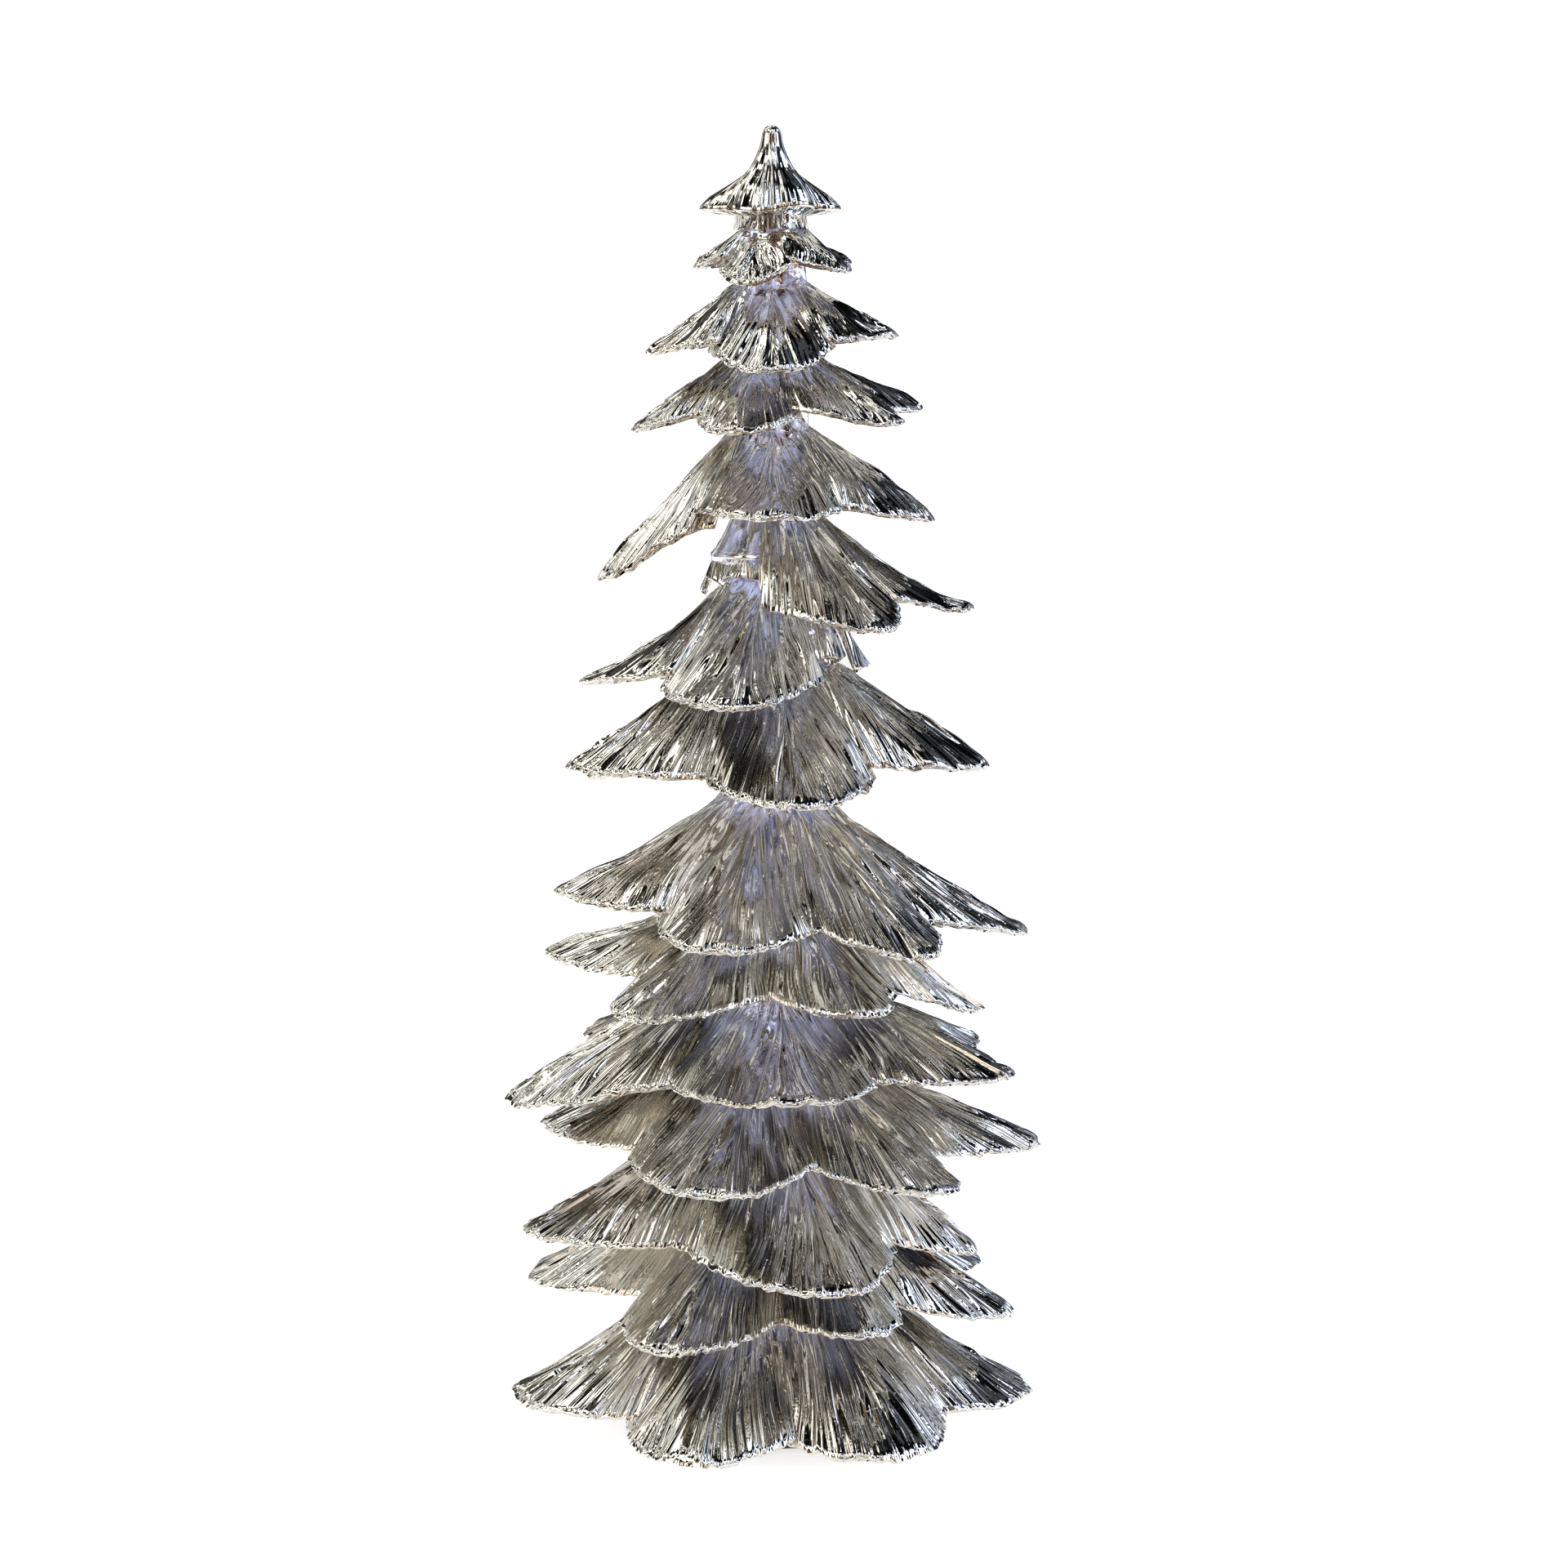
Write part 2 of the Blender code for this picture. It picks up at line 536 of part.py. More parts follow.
def build_door(material, root):
    """The cell door, on an empty that lies on its hinge axis."""
    hinge = bpy.data.objects.new("door_hinge_axis", None)
    bpy.context.scene.collection.objects.link(hinge)
    hinge.parent = root
    hinge.location = Vector((HINGE_X, 0, HINGE_Z)) * MM

    bottom = PLATE_BOTTOM - HINGE_Z
    plate_left = EAR_HALF_DEPTH + 2 * FIT
    plate_right = DOOR_END - HINGE_X
    size = (plate_right - plate_left, 2 * DOOR_HALF_WIDTH, PLATE_THICKNESS)
    centre = ((plate_left + plate_right) / 2, 0, bottom + PLATE_THICKNESS / 2)
    door = make_object("battery_door", box_mesh("battery_door", size, centre), material, hinge)
    tongue = (plate_left + 1.0, 2 * BARREL_HALF_LENGTH - 0.4, PLATE_THICKNESS - 0.1)
    centre = (tongue[0] / 2, 0, bottom + PLATE_THICKNESS / 2)
    combine(door, box_mesh("tongue", tongue, centre), "UNION")
    barrel = rod_mesh("barrel", DOOR_BARREL_RADIUS, 2 * BARREL_HALF_LENGTH, (0, 0, 0), (0, 1, 0), 16)
    combine(door, barrel, "UNION")
    pins = rod_mesh("pins", DOOR_PIN_RADIUS, 2 * (BARREL_HALF_LENGTH + PIN_REACH), (0, 0, 0), (0, 1, 0), 12)
    combine(door, pins, "UNION")
    latch_z = bottom + PLATE_THICKNESS + LATCH_SIZE[2] / 2 - 0.1
    centre = (plate_right - LATCH_SIZE[0] / 2 - 0.2, 0, latch_z)
    combine(door, box_mesh("latch", LATCH_SIZE, centre), "UNION")
    scoop = rod_mesh("scoop", 5.0, 9.0, (plate_right - 5.5, 0, bottom - 4.1), (0, 1, 0), 20)
    combine(door, scoop, "DIFFERENCE")


def build_feet(material, parent):
    for i, (x, y) in enumerate(SCREW_PLACES):
        name = f"foot_{i + 1}"
        centre = (x, y, FOOT_HEIGHT / 2)
        make_object(name, rod_mesh(name, FOOT_RADIUS, FOOT_HEIGHT, centre, (0, 0, 1), 20), material, parent)


def build_screws(material, parent):
    head_bottom = PLATE_BOTTOM + TOUCH
    head_top = head_bottom + SCREW_HEAD_HEIGHT
    for i, (x, y) in enumerate(SCREW_PLACES):
        name = f"case_screw_{i + 1}"
        outline = [(0, head_bottom), (SCREW_HEAD_RADIUS * 0.8, head_bottom)]
        outline += [(SCREW_HEAD_RADIUS, head_bottom + 0.4), (SCREW_HEAD_RADIUS, head_top)]
        outline += [(SCREW_SHANK_RADIUS, head_top), (SCREW_SHANK_RADIUS, head_top + SCREW_LENGTH - 1.2)]
        outline += [(0, head_top + SCREW_LENGTH)]
        screw = make_object(name, turned_mesh(name, outline, 12), material, parent)
        screw.location = Vector((x, y, 0)) * MM


# ---------------------------------------------------------------- cells and contacts
def build_cells(material, parent):
    """Three cells side by side along X. The middle one faces the other way."""
    half = CELL_LENGTH / 2
    body_end = half - CELL_NUB_LENGTH
    outline = [(0, -half), (CELL_RADIUS - 0.4, -half), (CELL_RADIUS, -half + 0.4)]
    outline += [(CELL_RADIUS, body_end - 0.4), (CELL_RADIUS - 0.4, body_end)]
    outline += [(CELL_NUB_RADIUS, body_end), (CELL_NUB_RADIUS, half), (0, half)]
    mesh = turned_mesh("cell", outline, 20)
    mesh.materials.append(material)
    shift = BAY_HALF_LENGTH - 2 * TOUCH - CONTACT_THICKNESS - half
    for i in range(3):
        facing = 1 if i % 2 == 0 else -1
        cell = make_object(f"cell_{i + 1}", mesh, None, parent)
        cell.rotation_euler = (0, facing * math.pi / 2, 0)
        cell.location = Vector((facing * shift, (i - 1) * CELL_PITCH, CELL_AXIS)) * MM


def build_springs(material, parent):
    turns, per_turn = 3.0, 9
    wide, narrow = CELL_RADIUS - 1.65, CELL_RADIUS - 2.85
    points = int(turns * per_turn) + 1
    plate_face = BAY_HALF_LENGTH - TOUCH - CONTACT_THICKNESS
    run = SPRING_LENGTH - 2 * SPRING_WIRE_RADIUS
    for i in range(3):
        facing = 1 if i % 2 == 0 else -1
        name = f"cell_spring_{i + 1}"
        curve = bpy.data.curves.new(name, "CURVE")
        curve.dimensions = "3D"
        curve.bevel_depth = SPRING_WIRE_RADIUS * MM
        curve.bevel_resolution = 1
        curve.use_fill_caps = True
        spline = curve.splines.new("POLY")
        spline.points.add(points - 1)
        for k in range(points):
            share = k / (points - 1)
            angle = 2 * math.pi * turns * share
            radius = wide + (narrow - wide) * share
            along = plate_face - TOUCH - SPRING_WIRE_RADIUS - run * share
            y = (i - 1) * CELL_PITCH + radius * math.cos(angle)
            place = Vector((-facing * along, y, CELL_AXIS + radius * math.sin(angle)))
            spline.points[k].co = (*(place * MM), 1)
        curve.materials.append(material)
        obj = bpy.data.objects.new(name, curve)
        bpy.context.scene.collection.objects.link(obj)
        obj.parent = parent


def build_contacts(material, parent):
    """Two link plates join neighbouring cells, and two terminals take the ends of the row."""
    single, double = CELL_PITCH * 0.8, CELL_PITCH * 1.8
    bottom = CELL_AXIS - CELL_RADIUS + 1.15
    link_top = CELL_AXIS + CELL_RADIUS - 1.15
    terminal_top = CASE_CEILING - 0.5  # a lead is soldered to this end
    face = BAY_HALF_LENGTH - TOUCH - CONTACT_THICKNESS / 2
    plates = [
        ("terminal_plate_minus", -1, -CELL_PITCH, single, terminal_top),
        ("link_plate_left", -1, CELL_PITCH / 2, double, link_top),
        ("link_plate_right", 1, -CELL_PITCH / 2, double, link_top),
        ("terminal_plate_plus", 1, CELL_PITCH, single, terminal_top),
    ]
    for name, side, y, width, top in plates:
        size = (CONTACT_THICKNESS, width, top - bottom)
        centre = (side * face, y, (top + bottom) / 2)
        make_object(name, box_mesh(name, size, centre), material, parent)


# ---------------------------------------------------------------- control board, switch and leads
def build_control(board_material, body_material, knob_material, parent):
    centre = (0, BOARD_Y, BOARD_Z + BOARD_SIZE[2] / 2)
    make_object("control_board", box_mesh("control_board", BOARD_SIZE, centre), board_material, parent)
    body_top = BOARD_Z - TOUCH
    body_bottom = body_top - SWITCH_BODY_SIZE[2]
    centre = (0, BOARD_Y, (body_top + body_bottom) / 2)
    body = make_object("switch_body", box_mesh("switch_body", SWITCH_BODY_SIZE, centre), body_material, parent)
    knob_top = KNOB_BOTTOM + KNOB_SIZE[2]
    slot_depth = knob_top + SWITCH_STEM_SIZE[2] + TOUCH - body_bottom
    slot_length = SWITCH_STEM_SIZE[0] + SWITCH_TRAVEL + 2 * TOUCH
    slot = (slot_length, SWITCH_STEM_SIZE[1] + 2 * TOUCH, 2 * slot_depth)
    combine(body, box_mesh("stem_slot", slot, (0, BOARD_Y, body_bottom)), "DIFFERENCE")

    on_x = SWITCH_TRAVEL / 2
    centre = (on_x, BOARD_Y, KNOB_BOTTOM + KNOB_SIZE[2] / 2)
    knob = make_object("switch_knob", box_mesh("switch_knob", KNOB_SIZE, centre), knob_material, parent)
    stem = (*SWITCH_STEM_SIZE[:2], SWITCH_STEM_SIZE[2] + 0.5)
    centre = (on_x, BOARD_Y, knob_top + SWITCH_STEM_SIZE[2] / 2 - 0.25)
    combine(knob, box_mesh("stem", stem, centre), "UNION")


def smooth_route(stops, spacing):
    """Points every few millimetres along a smooth curve through the stops (Catmull-Rom)."""
    stops = [Vector(s) for s in stops]
    ends = [2 * stops[0] - stops[1]] + stops + [2 * stops[-1] - stops[-2]]
    route = []
    for a, b, c, d in zip(ends, ends[1:], ends[2:], ends[3:]):
        steps = max(1, round((c - b).length / spacing))
        for k in range(steps):
            t = k / steps
            cubic = (2 * b) + (c - a) * t + (2 * a - 5 * b + 4 * c - d) * t * t
            route.append((cubic + (3 * b - a - 3 * c + d) * t ** 3) / 2)
    return route + [stops[-1]]


def build_leads(red, black, parent):
    over = CELL_AXIS + CELL_RADIUS + LEAD_ROOM / 2 + 0.1
    landing = BOARD_Z + BOARD_SIZE[2] + TOUCH + LEAD_RADIUS
    board_foot = STEM_BOTTOM + TOUCH
    edge = BAY_HALF_WIDTH + BAY_WALL / 2
    pad = BOARD_Y - 1
    face = BAY_HALF_LENGTH - 2 * TOUCH - CONTACT_THICKNESS - LEAD_RADIUS
    beside = LED_BOARD_THICKNESS / 2 + 2 * TOUCH
    routes = {}
    for name, side in (("led_lead_red", 1), ("led_lead_black", -1)):
        x = 2.0 * side
        stops = [(x, beside, board_foot - 1.2), (x, 2, over + 0.4), (x * 1.1, 6, over)]
        routes[name] = stops + [(x * 1.2, edge, over), (x * 1.3, pad, landing)]
    plus = (face, CELL_PITCH * 1.2, over - 0.1)
    routes["cell_lead_red"] = [plus, (20, 13.6, over), (12, 15.4, over), (8, edge, over), (7, pad, landing)]
    minus = (-face, -CELL_PITCH * 1.2, over - 0.1)
    routes["cell_lead_black"] = [minus, (-20, -9, over), (-13, 4, over), (-8, edge, over), (-7, pad, landing)]
    for name, stops in routes.items():
        curve = bpy.data.curves.new(name, "CURVE")
        curve.dimensions = "3D"
        curve.bevel_depth = LEAD_RADIUS * MM
        curve.bevel_resolution = 1
        curve.use_fill_caps = True
        route = smooth_route(stops, 3 * LEAD_RADIUS)
        spline = curve.splines.new("POLY")
        spline.points.add(len(route) - 1)
        for point, place in zip(spline.points, route):
            point.co = (*(place * MM), 1)
        curve.materials.append(red if name.endswith("red") else black)
        obj = bpy.data.objects.new(name, curve)
        bpy.context.scene.collection.objects.link(obj)
        obj.parent = parent


# ---------------------------------------------------------------- the whole tree
def main():
    for obj in list(bpy.data.objects):
        bpy.data.objects.remove(obj, do_unlink=True)

    plated = make_material("silver_plated_plastic", "C9C8C3", 1.0, 0.12)
    clear = make_material("clear_acrylic", "E4EAF5", 0.0, 0.1)
    white = make_material("white_plastic", "E8E8E4", 0.0, 0.4)
    black = make_material("black_plastic", "1C1C1E", 0.0, 0.45)
    rubber = make_material("grey_rubber", "4A4A4C", 0.0, 0.8)
    nickel = make_material("nickel", "C6C2B8", 1.0, 0.25)
    green_board = make_material("circuit_board", "1E5A3A", 0.0, 0.5)
    led = make_material("led_package", "F2EFC0", 0.0, 0.3)
    cell = make_material("cell_sleeve", "3A5068", 0.3, 0.35)
    red_wire = make_material("red_insulation", "B02020", 0.0, 0.5)
    black_wire = make_material("black_insulation", "161618", 0.0, 0.5)

    root = bpy.data.objects.new("tree_root", None)
    bpy.context.scene.collection.objects.link(root)

    build_skirts(plated, root)
    build_cap(plated, root)
    build_stem(clear, root)
    build_led_board(white, led, white, root)
    build_case(black, root)
    build_base_plate(black, root)
    build_door(black, root)
    build_feet(rubber, root)
    build_screws(nickel, root)
    build_cells(cell, root)
    build_springs(nickel, root)
    build_contacts(nickel, root)
    build_control(green_board, black, white, root)
    build_leads(red_wire, black_wire, root)


main()
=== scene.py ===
# %% [markdown]
# # A silver fir tree that lights up
#
# The real object is a tabletop fir tree. Skirts of moulded acrylic branches are threaded on a clear
# stem, and a thin coat of metal makes them look like polished silver. LEDs in the stem light the
# gaps between the skirts. The tree stands on a battery case that hides inside its lowest skirt.
#
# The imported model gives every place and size. This script adds what the eye sees: the branches,
# their combed needles, the metal coat and the light. It begins with the frame, and keeps its box,
# so that the finished tree can be measured against it.

# %% The frame
import json
import math

import bpy
import numpy as np
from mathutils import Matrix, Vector


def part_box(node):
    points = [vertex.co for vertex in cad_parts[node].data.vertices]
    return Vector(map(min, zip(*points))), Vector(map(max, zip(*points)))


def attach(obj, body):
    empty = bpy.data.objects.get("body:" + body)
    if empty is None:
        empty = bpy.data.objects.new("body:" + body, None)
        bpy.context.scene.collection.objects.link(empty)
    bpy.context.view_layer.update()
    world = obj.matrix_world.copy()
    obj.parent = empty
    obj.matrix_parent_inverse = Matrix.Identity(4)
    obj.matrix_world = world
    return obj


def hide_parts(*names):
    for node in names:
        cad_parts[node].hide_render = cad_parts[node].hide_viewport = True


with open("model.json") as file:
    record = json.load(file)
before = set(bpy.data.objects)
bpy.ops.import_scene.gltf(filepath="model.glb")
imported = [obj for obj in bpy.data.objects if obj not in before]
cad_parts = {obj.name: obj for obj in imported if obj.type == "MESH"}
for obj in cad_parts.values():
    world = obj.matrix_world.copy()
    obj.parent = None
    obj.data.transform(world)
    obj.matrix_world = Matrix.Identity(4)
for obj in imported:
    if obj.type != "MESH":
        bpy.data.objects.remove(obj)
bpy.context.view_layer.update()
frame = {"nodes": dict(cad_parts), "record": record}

MM = 0.001

# %% [markdown]
# ## Colours and shader nodes
#
# A colour is easiest to choose as an sRGB hex value, as a paint chart gives it. Shaders count in
# linear light, so one function turns the first into the second. Materials are built from nodes, and
# one small function adds a node, sets it up and links it, which keeps each recipe short.


# %% Helpers for colours and nodes
def linear(hex_colour):
    """An sRGB hex colour as linear red, green, blue and alpha."""
    channels = [int(hex_colour[i : i + 2], 16) / 255 for i in (0, 2, 4)]
    curve = [((c + 0.055) / 1.055) ** 2.4 if c > 0.04045 else c / 12.92 for c in channels]
    return (*curve, 1.0)


def add(tree, kind, settings=None, **inputs):
    """Adds a node. An input is a number, a colour or another node's output, by socket name."""
    node = tree.nodes.new(kind)
    for key, value in (settings or {}).items():
        setattr(node, key, value)
    for key, value in inputs.items():
        name = key.replace("_", " ")
        socket = node.inputs[int(key[2:])] if key.startswith("in") else node.inputs[name]
        if isinstance(value, bpy.types.NodeSocket):
            tree.links.new(value, socket)
        else:
            socket.default_value = value
    return node


def ramp(tree, factor, stops):
    """A colour ramp through (position, hex colour) stops."""
    node = add(tree, "ShaderNodeValToRGB", Fac=factor)
    elements = node.color_ramp.elements
    while len(elements) < len(stops):
        elements.new(0.5)
    for element, (position, hex_colour) in zip(elements, stops):
        element.position = position
        element.color = linear(hex_colour)
    return node.outputs["Color"]


def new_material(name):
    """An empty node material, with its tree and its Principled shader."""
    material = bpy.data.materials.new(name)
    material.use_nodes = True
    tree = material.node_tree
    return material, tree, tree.nodes["Principled BSDF"]


# %% [markdown]
# ## The plating: vacuum-metallised acrylic
#
# The skirts are moulded in clear acrylic, then coated with aluminium in a vacuum. The coat is a
# fraction of a micron thick, so it copies the plastic below like a mirror: every needle, and also
# each pit and flow line of the moulding. That is what makes it glitter. Where the coat is thin,
# beside the stem, the light inside shines through in cool blue. That light is painted on the
# plating as a glow of its own.
#
# Metal has no colour of its own to paint except the tint of its reflection, so the recipe is a
# bright silver with faint warm clouds, a low roughness that varies, and two sizes of relief: hair
# lines that follow the needles, and pits between them. The hair lines use the sheet's own
# coordinates, which count millimetres across and along the needles. They are really about 0.1 mm
# apart, too fine to show, so they are drawn about 1 mm apart, and they fade out towards the stem,
# where they would run together. On top of that comes the painted glow beside the stem. The
# undersides and the bells face the LEDs and carry more light than the tops, and the cap has hardly
# any, so the same recipe is used three times, as copies with more or less painted glow.

# %% The plating's values
SILVER = "D9D9D5"
SILVER_WARM = "D4CEC5"
# the colour, reach and streaks of a glow painted on the plating beside the stem, which stands in for the
# LEDs' light
PAINTED_GLOW = "C4CBF5"
HAIR_SPACING_MM = 1.1
HAIR_LENGTH_MM = 8.0
PIT_SPACING_MM = 1.3
CLOUD_SPACING_MM = 22.0
GLOW_REACH_LOW_MM = 27.0
GLOW_REACH_HIGH_MM = 11.0
GLOW_STREAK_MM = (3.5, 16.0)  # width and length of the lighter streaks in the glow
LIT_FROM_MM, LIT_TO_MM = 40.0, 280.0  # the heights that the two reaches belong to


# %% The plating
def plating(name, glow, reach=1.0):
    """Silver plating. Glow is how much painted light shows beside the stem, reach how far out it goes."""
    material, tree, shader = new_material(name)
    place = add(tree, "ShaderNodeTexCoord").outputs
    per_mm = 1 / MM

    cloud = add(tree, "ShaderNodeTexNoise", Vector=place["Object"], Scale=per_mm / CLOUD_SPACING_MM)
    cloud.inputs["Detail"].default_value = 3.0
    tint = ramp(tree, cloud.outputs["Fac"], [(0.4, SILVER), (0.7, SILVER_WARM)])
    tree.links.new(tint, shader.inputs["Base Color"])

    grain = add(tree, "ShaderNodeMapping", Vector=place["UV"])
    grain.inputs["Scale"].default_value = (1 / HAIR_SPACING_MM, 1 / HAIR_LENGTH_MM, 1.0)
    hair = add(tree, "ShaderNodeTexNoise", Vector=grain.outputs["Vector"], Scale=1.0, Detail=2.0)
    pits = add(tree, "ShaderNodeTexVoronoi", Vector=place["Object"], Scale=per_mm / PIT_SPACING_MM)
    pit_depth = add(
        tree,
        "ShaderNodeMapRange",
        {"interpolation_type": "SMOOTHSTEP"},
        Value=pits.outputs["Distance"],
        From_Min=0.08,
        From_Max=0.42,
    )
    along = add(tree, "ShaderNodeSeparateXYZ", Vector=place["UV"]).outputs["Y"]
    hair_depth = add(
        tree, "ShaderNodeMapRange", Value=along, From_Min=12.0, From_Max=40.0, To_Min=0.0, To_Max=0.14
    )
    hair_relief = add(
        tree,
        "ShaderNodeBump",
        Height=hair.outputs["Fac"],
        Strength=hair_depth.outputs["Result"],
        Distance=0.08 * MM,
    )
    relief = add(
        tree,
        "ShaderNodeBump",
        Height=pit_depth.outputs["Result"],
        Strength=0.14,
        Distance=0.1 * MM,
        Normal=hair_relief.outputs["Normal"],
    )
    tree.links.new(relief.outputs["Normal"], shader.inputs["Normal"])

    polish = add(
        tree,
        "ShaderNodeMapRange",
        Value=hair.outputs["Fac"],
        From_Min=0.3,
        From_Max=0.7,
        To_Min=0.03,
        To_Max=0.09,
    )
    tree.links.new(polish.outputs["Result"], shader.inputs["Roughness"])
    shader.inputs["Metallic"].default_value = 1.0

    # a glow painted on as emission beside the stem, standing in for the LEDs' light: strongest near the
    # axis, reaching further out on the low skirts, and broken into streaks along the needles
    apart = add(tree, "ShaderNodeSeparateXYZ", Vector=place["Object"])
    flat = add(tree, "ShaderNodeCombineXYZ", X=apart.outputs["X"], Y=apart.outputs["Y"])
    radius = add(tree, "ShaderNodeVectorMath", {"operation": "LENGTH"}, in0=flat.outputs["Vector"])
    lit_reach = add(
        tree,
        "ShaderNodeMapRange",
        Value=apart.outputs["Z"],
        From_Min=LIT_FROM_MM * MM,
        From_Max=LIT_TO_MM * MM,
        To_Min=GLOW_REACH_LOW_MM * MM * reach,
        To_Max=GLOW_REACH_HIGH_MM * MM * reach,
    )
    share = add(
        tree,
        "ShaderNodeMath",
        {"operation": "DIVIDE"},
        in0=radius.outputs["Value"],
        in1=lit_reach.outputs["Result"],
    )
    near = add(
        tree,
        "ShaderNodeMapRange",
        {"interpolation_type": "SMOOTHSTEP"},
        Value=share.outputs["Value"],
        From_Min=0.35,
        From_Max=1.0,
        To_Min=glow,
        To_Max=0.0,
    )
    streak = add(tree, "ShaderNodeMapping", Vector=place["UV"])
    streak.inputs["Scale"].default_value = (1 / GLOW_STREAK_MM[0], 1 / GLOW_STREAK_MM[1], 1.0)
    patch = add(tree, "ShaderNodeTexNoise", Vector=streak.outputs["Vector"], Scale=1.0, Detail=3.0)
    mottle = add(
        tree, "ShaderNodeMapRange", Value=patch.outputs["Fac"], From_Min=0.42, From_Max=0.7
    )
    light = add(
        tree,
        "ShaderNodeMath",
        {"operation": "MULTIPLY"},
        in0=near.outputs["Result"],
        in1=mottle.outputs["Result"],
    )
    tree.links.new(light.outputs["Value"], shader.inputs["Emission Strength"])
    shader.inputs["Emission Color"].default_value = linear(PAINTED_GLOW)
    return material


# three copies of one plating that differ only in painted glow: the tops, the undersides and bells with a
# stronger painted glow, and the cap with hardly any
silver = plating("metallised_acrylic", glow=0.6)
strong_painted_glow_silver = plating("metallised_acrylic_core", glow=0.8, reach=1.6)
cap_silver = plating("metallised_acrylic_cap", glow=0.04)
print("plating:", silver.name, strong_painted_glow_silver.name, cap_silver.name)

# %% [markdown]
# ## One branch fan: the smooth surface
#
# A branch looks like a sheet folded over a line. Its ridge leaves the collar high up, falls outwards
# and ends in the tip. From the ridge and the collar, needles hang down both sides to a broad rim.
# Where two branches meet, the rim has a valley, closer to the stem and a little higher.
#
# A modeller could extrude the outline and bend it, but then the needles would have to be carved
# later, in a direction that no tool knows. It is simpler to lay the surface out along the needles
# from the start. Each needle leaves the ridge or the collar at one point and ends on the rim at
# another. The number `a` says which needle it is, from 0 in the tip to 1 in the valley, and `t`
# says how far along the needle a point is, from 0 at its root to 1 on the rim.

# %% The branch fan's proportions
COLLAR_NEEDLES = 0.42  # needles beyond this share leave from the collar, the others from the ridge
ROOT_SHARE = 0.5  # how far along the ridge the tip's own needles have their root
SHEET_MM = 1.1  # thickness of the moulding
NEEDLE_PITCH_MM = 1.7
NEEDLE_DEPTH_MM = 0.36
NEEDLE_BACK = 1.6  # the power of the rib profile: 1 is a tent, 2 an arch
TIP_NOSE_MM = (2.4, 1.2)  # length and height of the blunt nose in which a branch ends
# (pitch, depth, where on the needle it starts, where it is full), as shares of the values above
NEEDLE_LAYERS = ((1.0, 1.0, 0.42, 0.8), (2.1, 1.3, 0.15, 0.5), (4.3, 2.2, 0.0, 0.25))
FRAY, FRAY_PITCH_MM = 0.014, 1.3  # how much the needles differ in length, and how often
WAVER_MM = 1.2  # how far a needle wanders sideways
WAVE_MM = 1.1  # height of the sheet's own broad waves
RIPPLE_MM = 0.05  # height of the small ripples across the needles
LUMP_MM = 0.8  # height of the melted lumps at the roots
FULL_RIM_MM = 50.0  # a fan with a shorter rim has lower waves and lumps
SAMPLES_PER_NEEDLE = 7
ROWS_PER_MM = 0.62
print("needle widths in mm:", [round(NEEDLE_PITCH_MM * layer[0], 1) for layer in NEEDLE_LAYERS])


def smooth_noise(rng, shape, count):
    """Random values from -1 to 1 on a coarse grid, smoothly stretched to shape (rows, columns)."""
    coarse = rng.uniform(-1, 1, (count[0] + 3, count[1] + 3))
    rows = np.linspace(1, count[0] + 0.999, shape[0])
    columns = np.linspace(1, count[1] + 0.999, shape[1])

    def blend(values, at):
        whole = at.astype(int)
        share = at - whole
        share = (share * share * (3 - 2 * share))[:, None]
        return values[whole] * (1 - share) + values[whole + 1] * share

    return blend(blend(coarse, rows).T, columns).T


def ease(low, high, value):
    """0 below low, 1 above high, smooth between."""
    share = np.clip((value - low) / (high - low), 0, 1)
    return share * share * (3 - 2 * share)


def fan_surface(fan, half, a, t):
    """Points of the smooth surface in mm: outwards, sideways, up. Arrays a and t share a shape."""
    reach, collar, tip = fan["reach"], fan["collar"], fan["tip"]
    spread, valley, valley_height = half
    nose_length, nose_height = TIP_NOSE_MM
    corner_out, corner_side = valley * math.cos(spread), valley * math.sin(spread)
    turn = a * math.pi / 2
    rim_out = corner_out + (reach - corner_out) * np.cos(turn) ** 1.15
    rim_side = corner_side * np.sin(turn) ** 1.1

    around = spread * np.clip((a - COLLAR_NEEDLES) / (1 - COLLAR_NEEDLES), 0, 1)
    along = np.clip(1 - a / COLLAR_NEEDLES, 0, 1)
    root_out = collar * np.cos(around) + ROOT_SHARE * (reach - collar) * along
    root_side = collar * np.sin(around)
    out = root_out + (rim_out - root_out) * t ** (0.88 + 0.12 * a)
    side = root_side + (rim_side - root_side) * t ** (1.35 - 0.35 * a)

    def ridge_height(distance):
        left = np.clip((reach - distance) / (reach - collar), 0, 1)
        nose = 1 - (1 - np.clip((reach - distance) / nose_length, 0, 1)) ** 2
        return tip + nose_height * nose + (fan["top"] - tip - nose_height) * left ** fan["sweep"]

    rim_height = tip + (valley_height - tip) * ease(0.0, 1.0, a) ** 1.4
    drop = ridge_height(rim_out) - rim_height
    up = ridge_height(out) - drop * t ** (1.75 - 0.35 * a)
    return np.stack([out, side, up], axis=-1)


def surface_normals(points):
    """Unit normals of a grid of points, pointing up."""
    normals = np.cross(np.gradient(points, axis=1), np.gradient(points, axis=0))
    normals[0, 0] = normals[0, 1]
    normals[0, :, 1] = 0
    normals /= np.linalg.norm(normals, axis=-1, keepdims=True)
    return normals


# %% [markdown]
# ## Needles
#
# The needles are moulded ribs with rounded backs and sharp valleys. No two are equally wide or deep,
# and they waver a little, like combed hair. Each gets its own width, depth and lean from a seeded
# random generator, so the tree comes out the same every time. The lean matters most to the eye: it
# turns each back a little to one side, so that one needle mirrors a lamp and the next a dark wall.
# Fine needles would run together at the roots, so they start halfway, and broader ones lead up to
# them from the lumps beside the stem. The rim is left finely serrated.


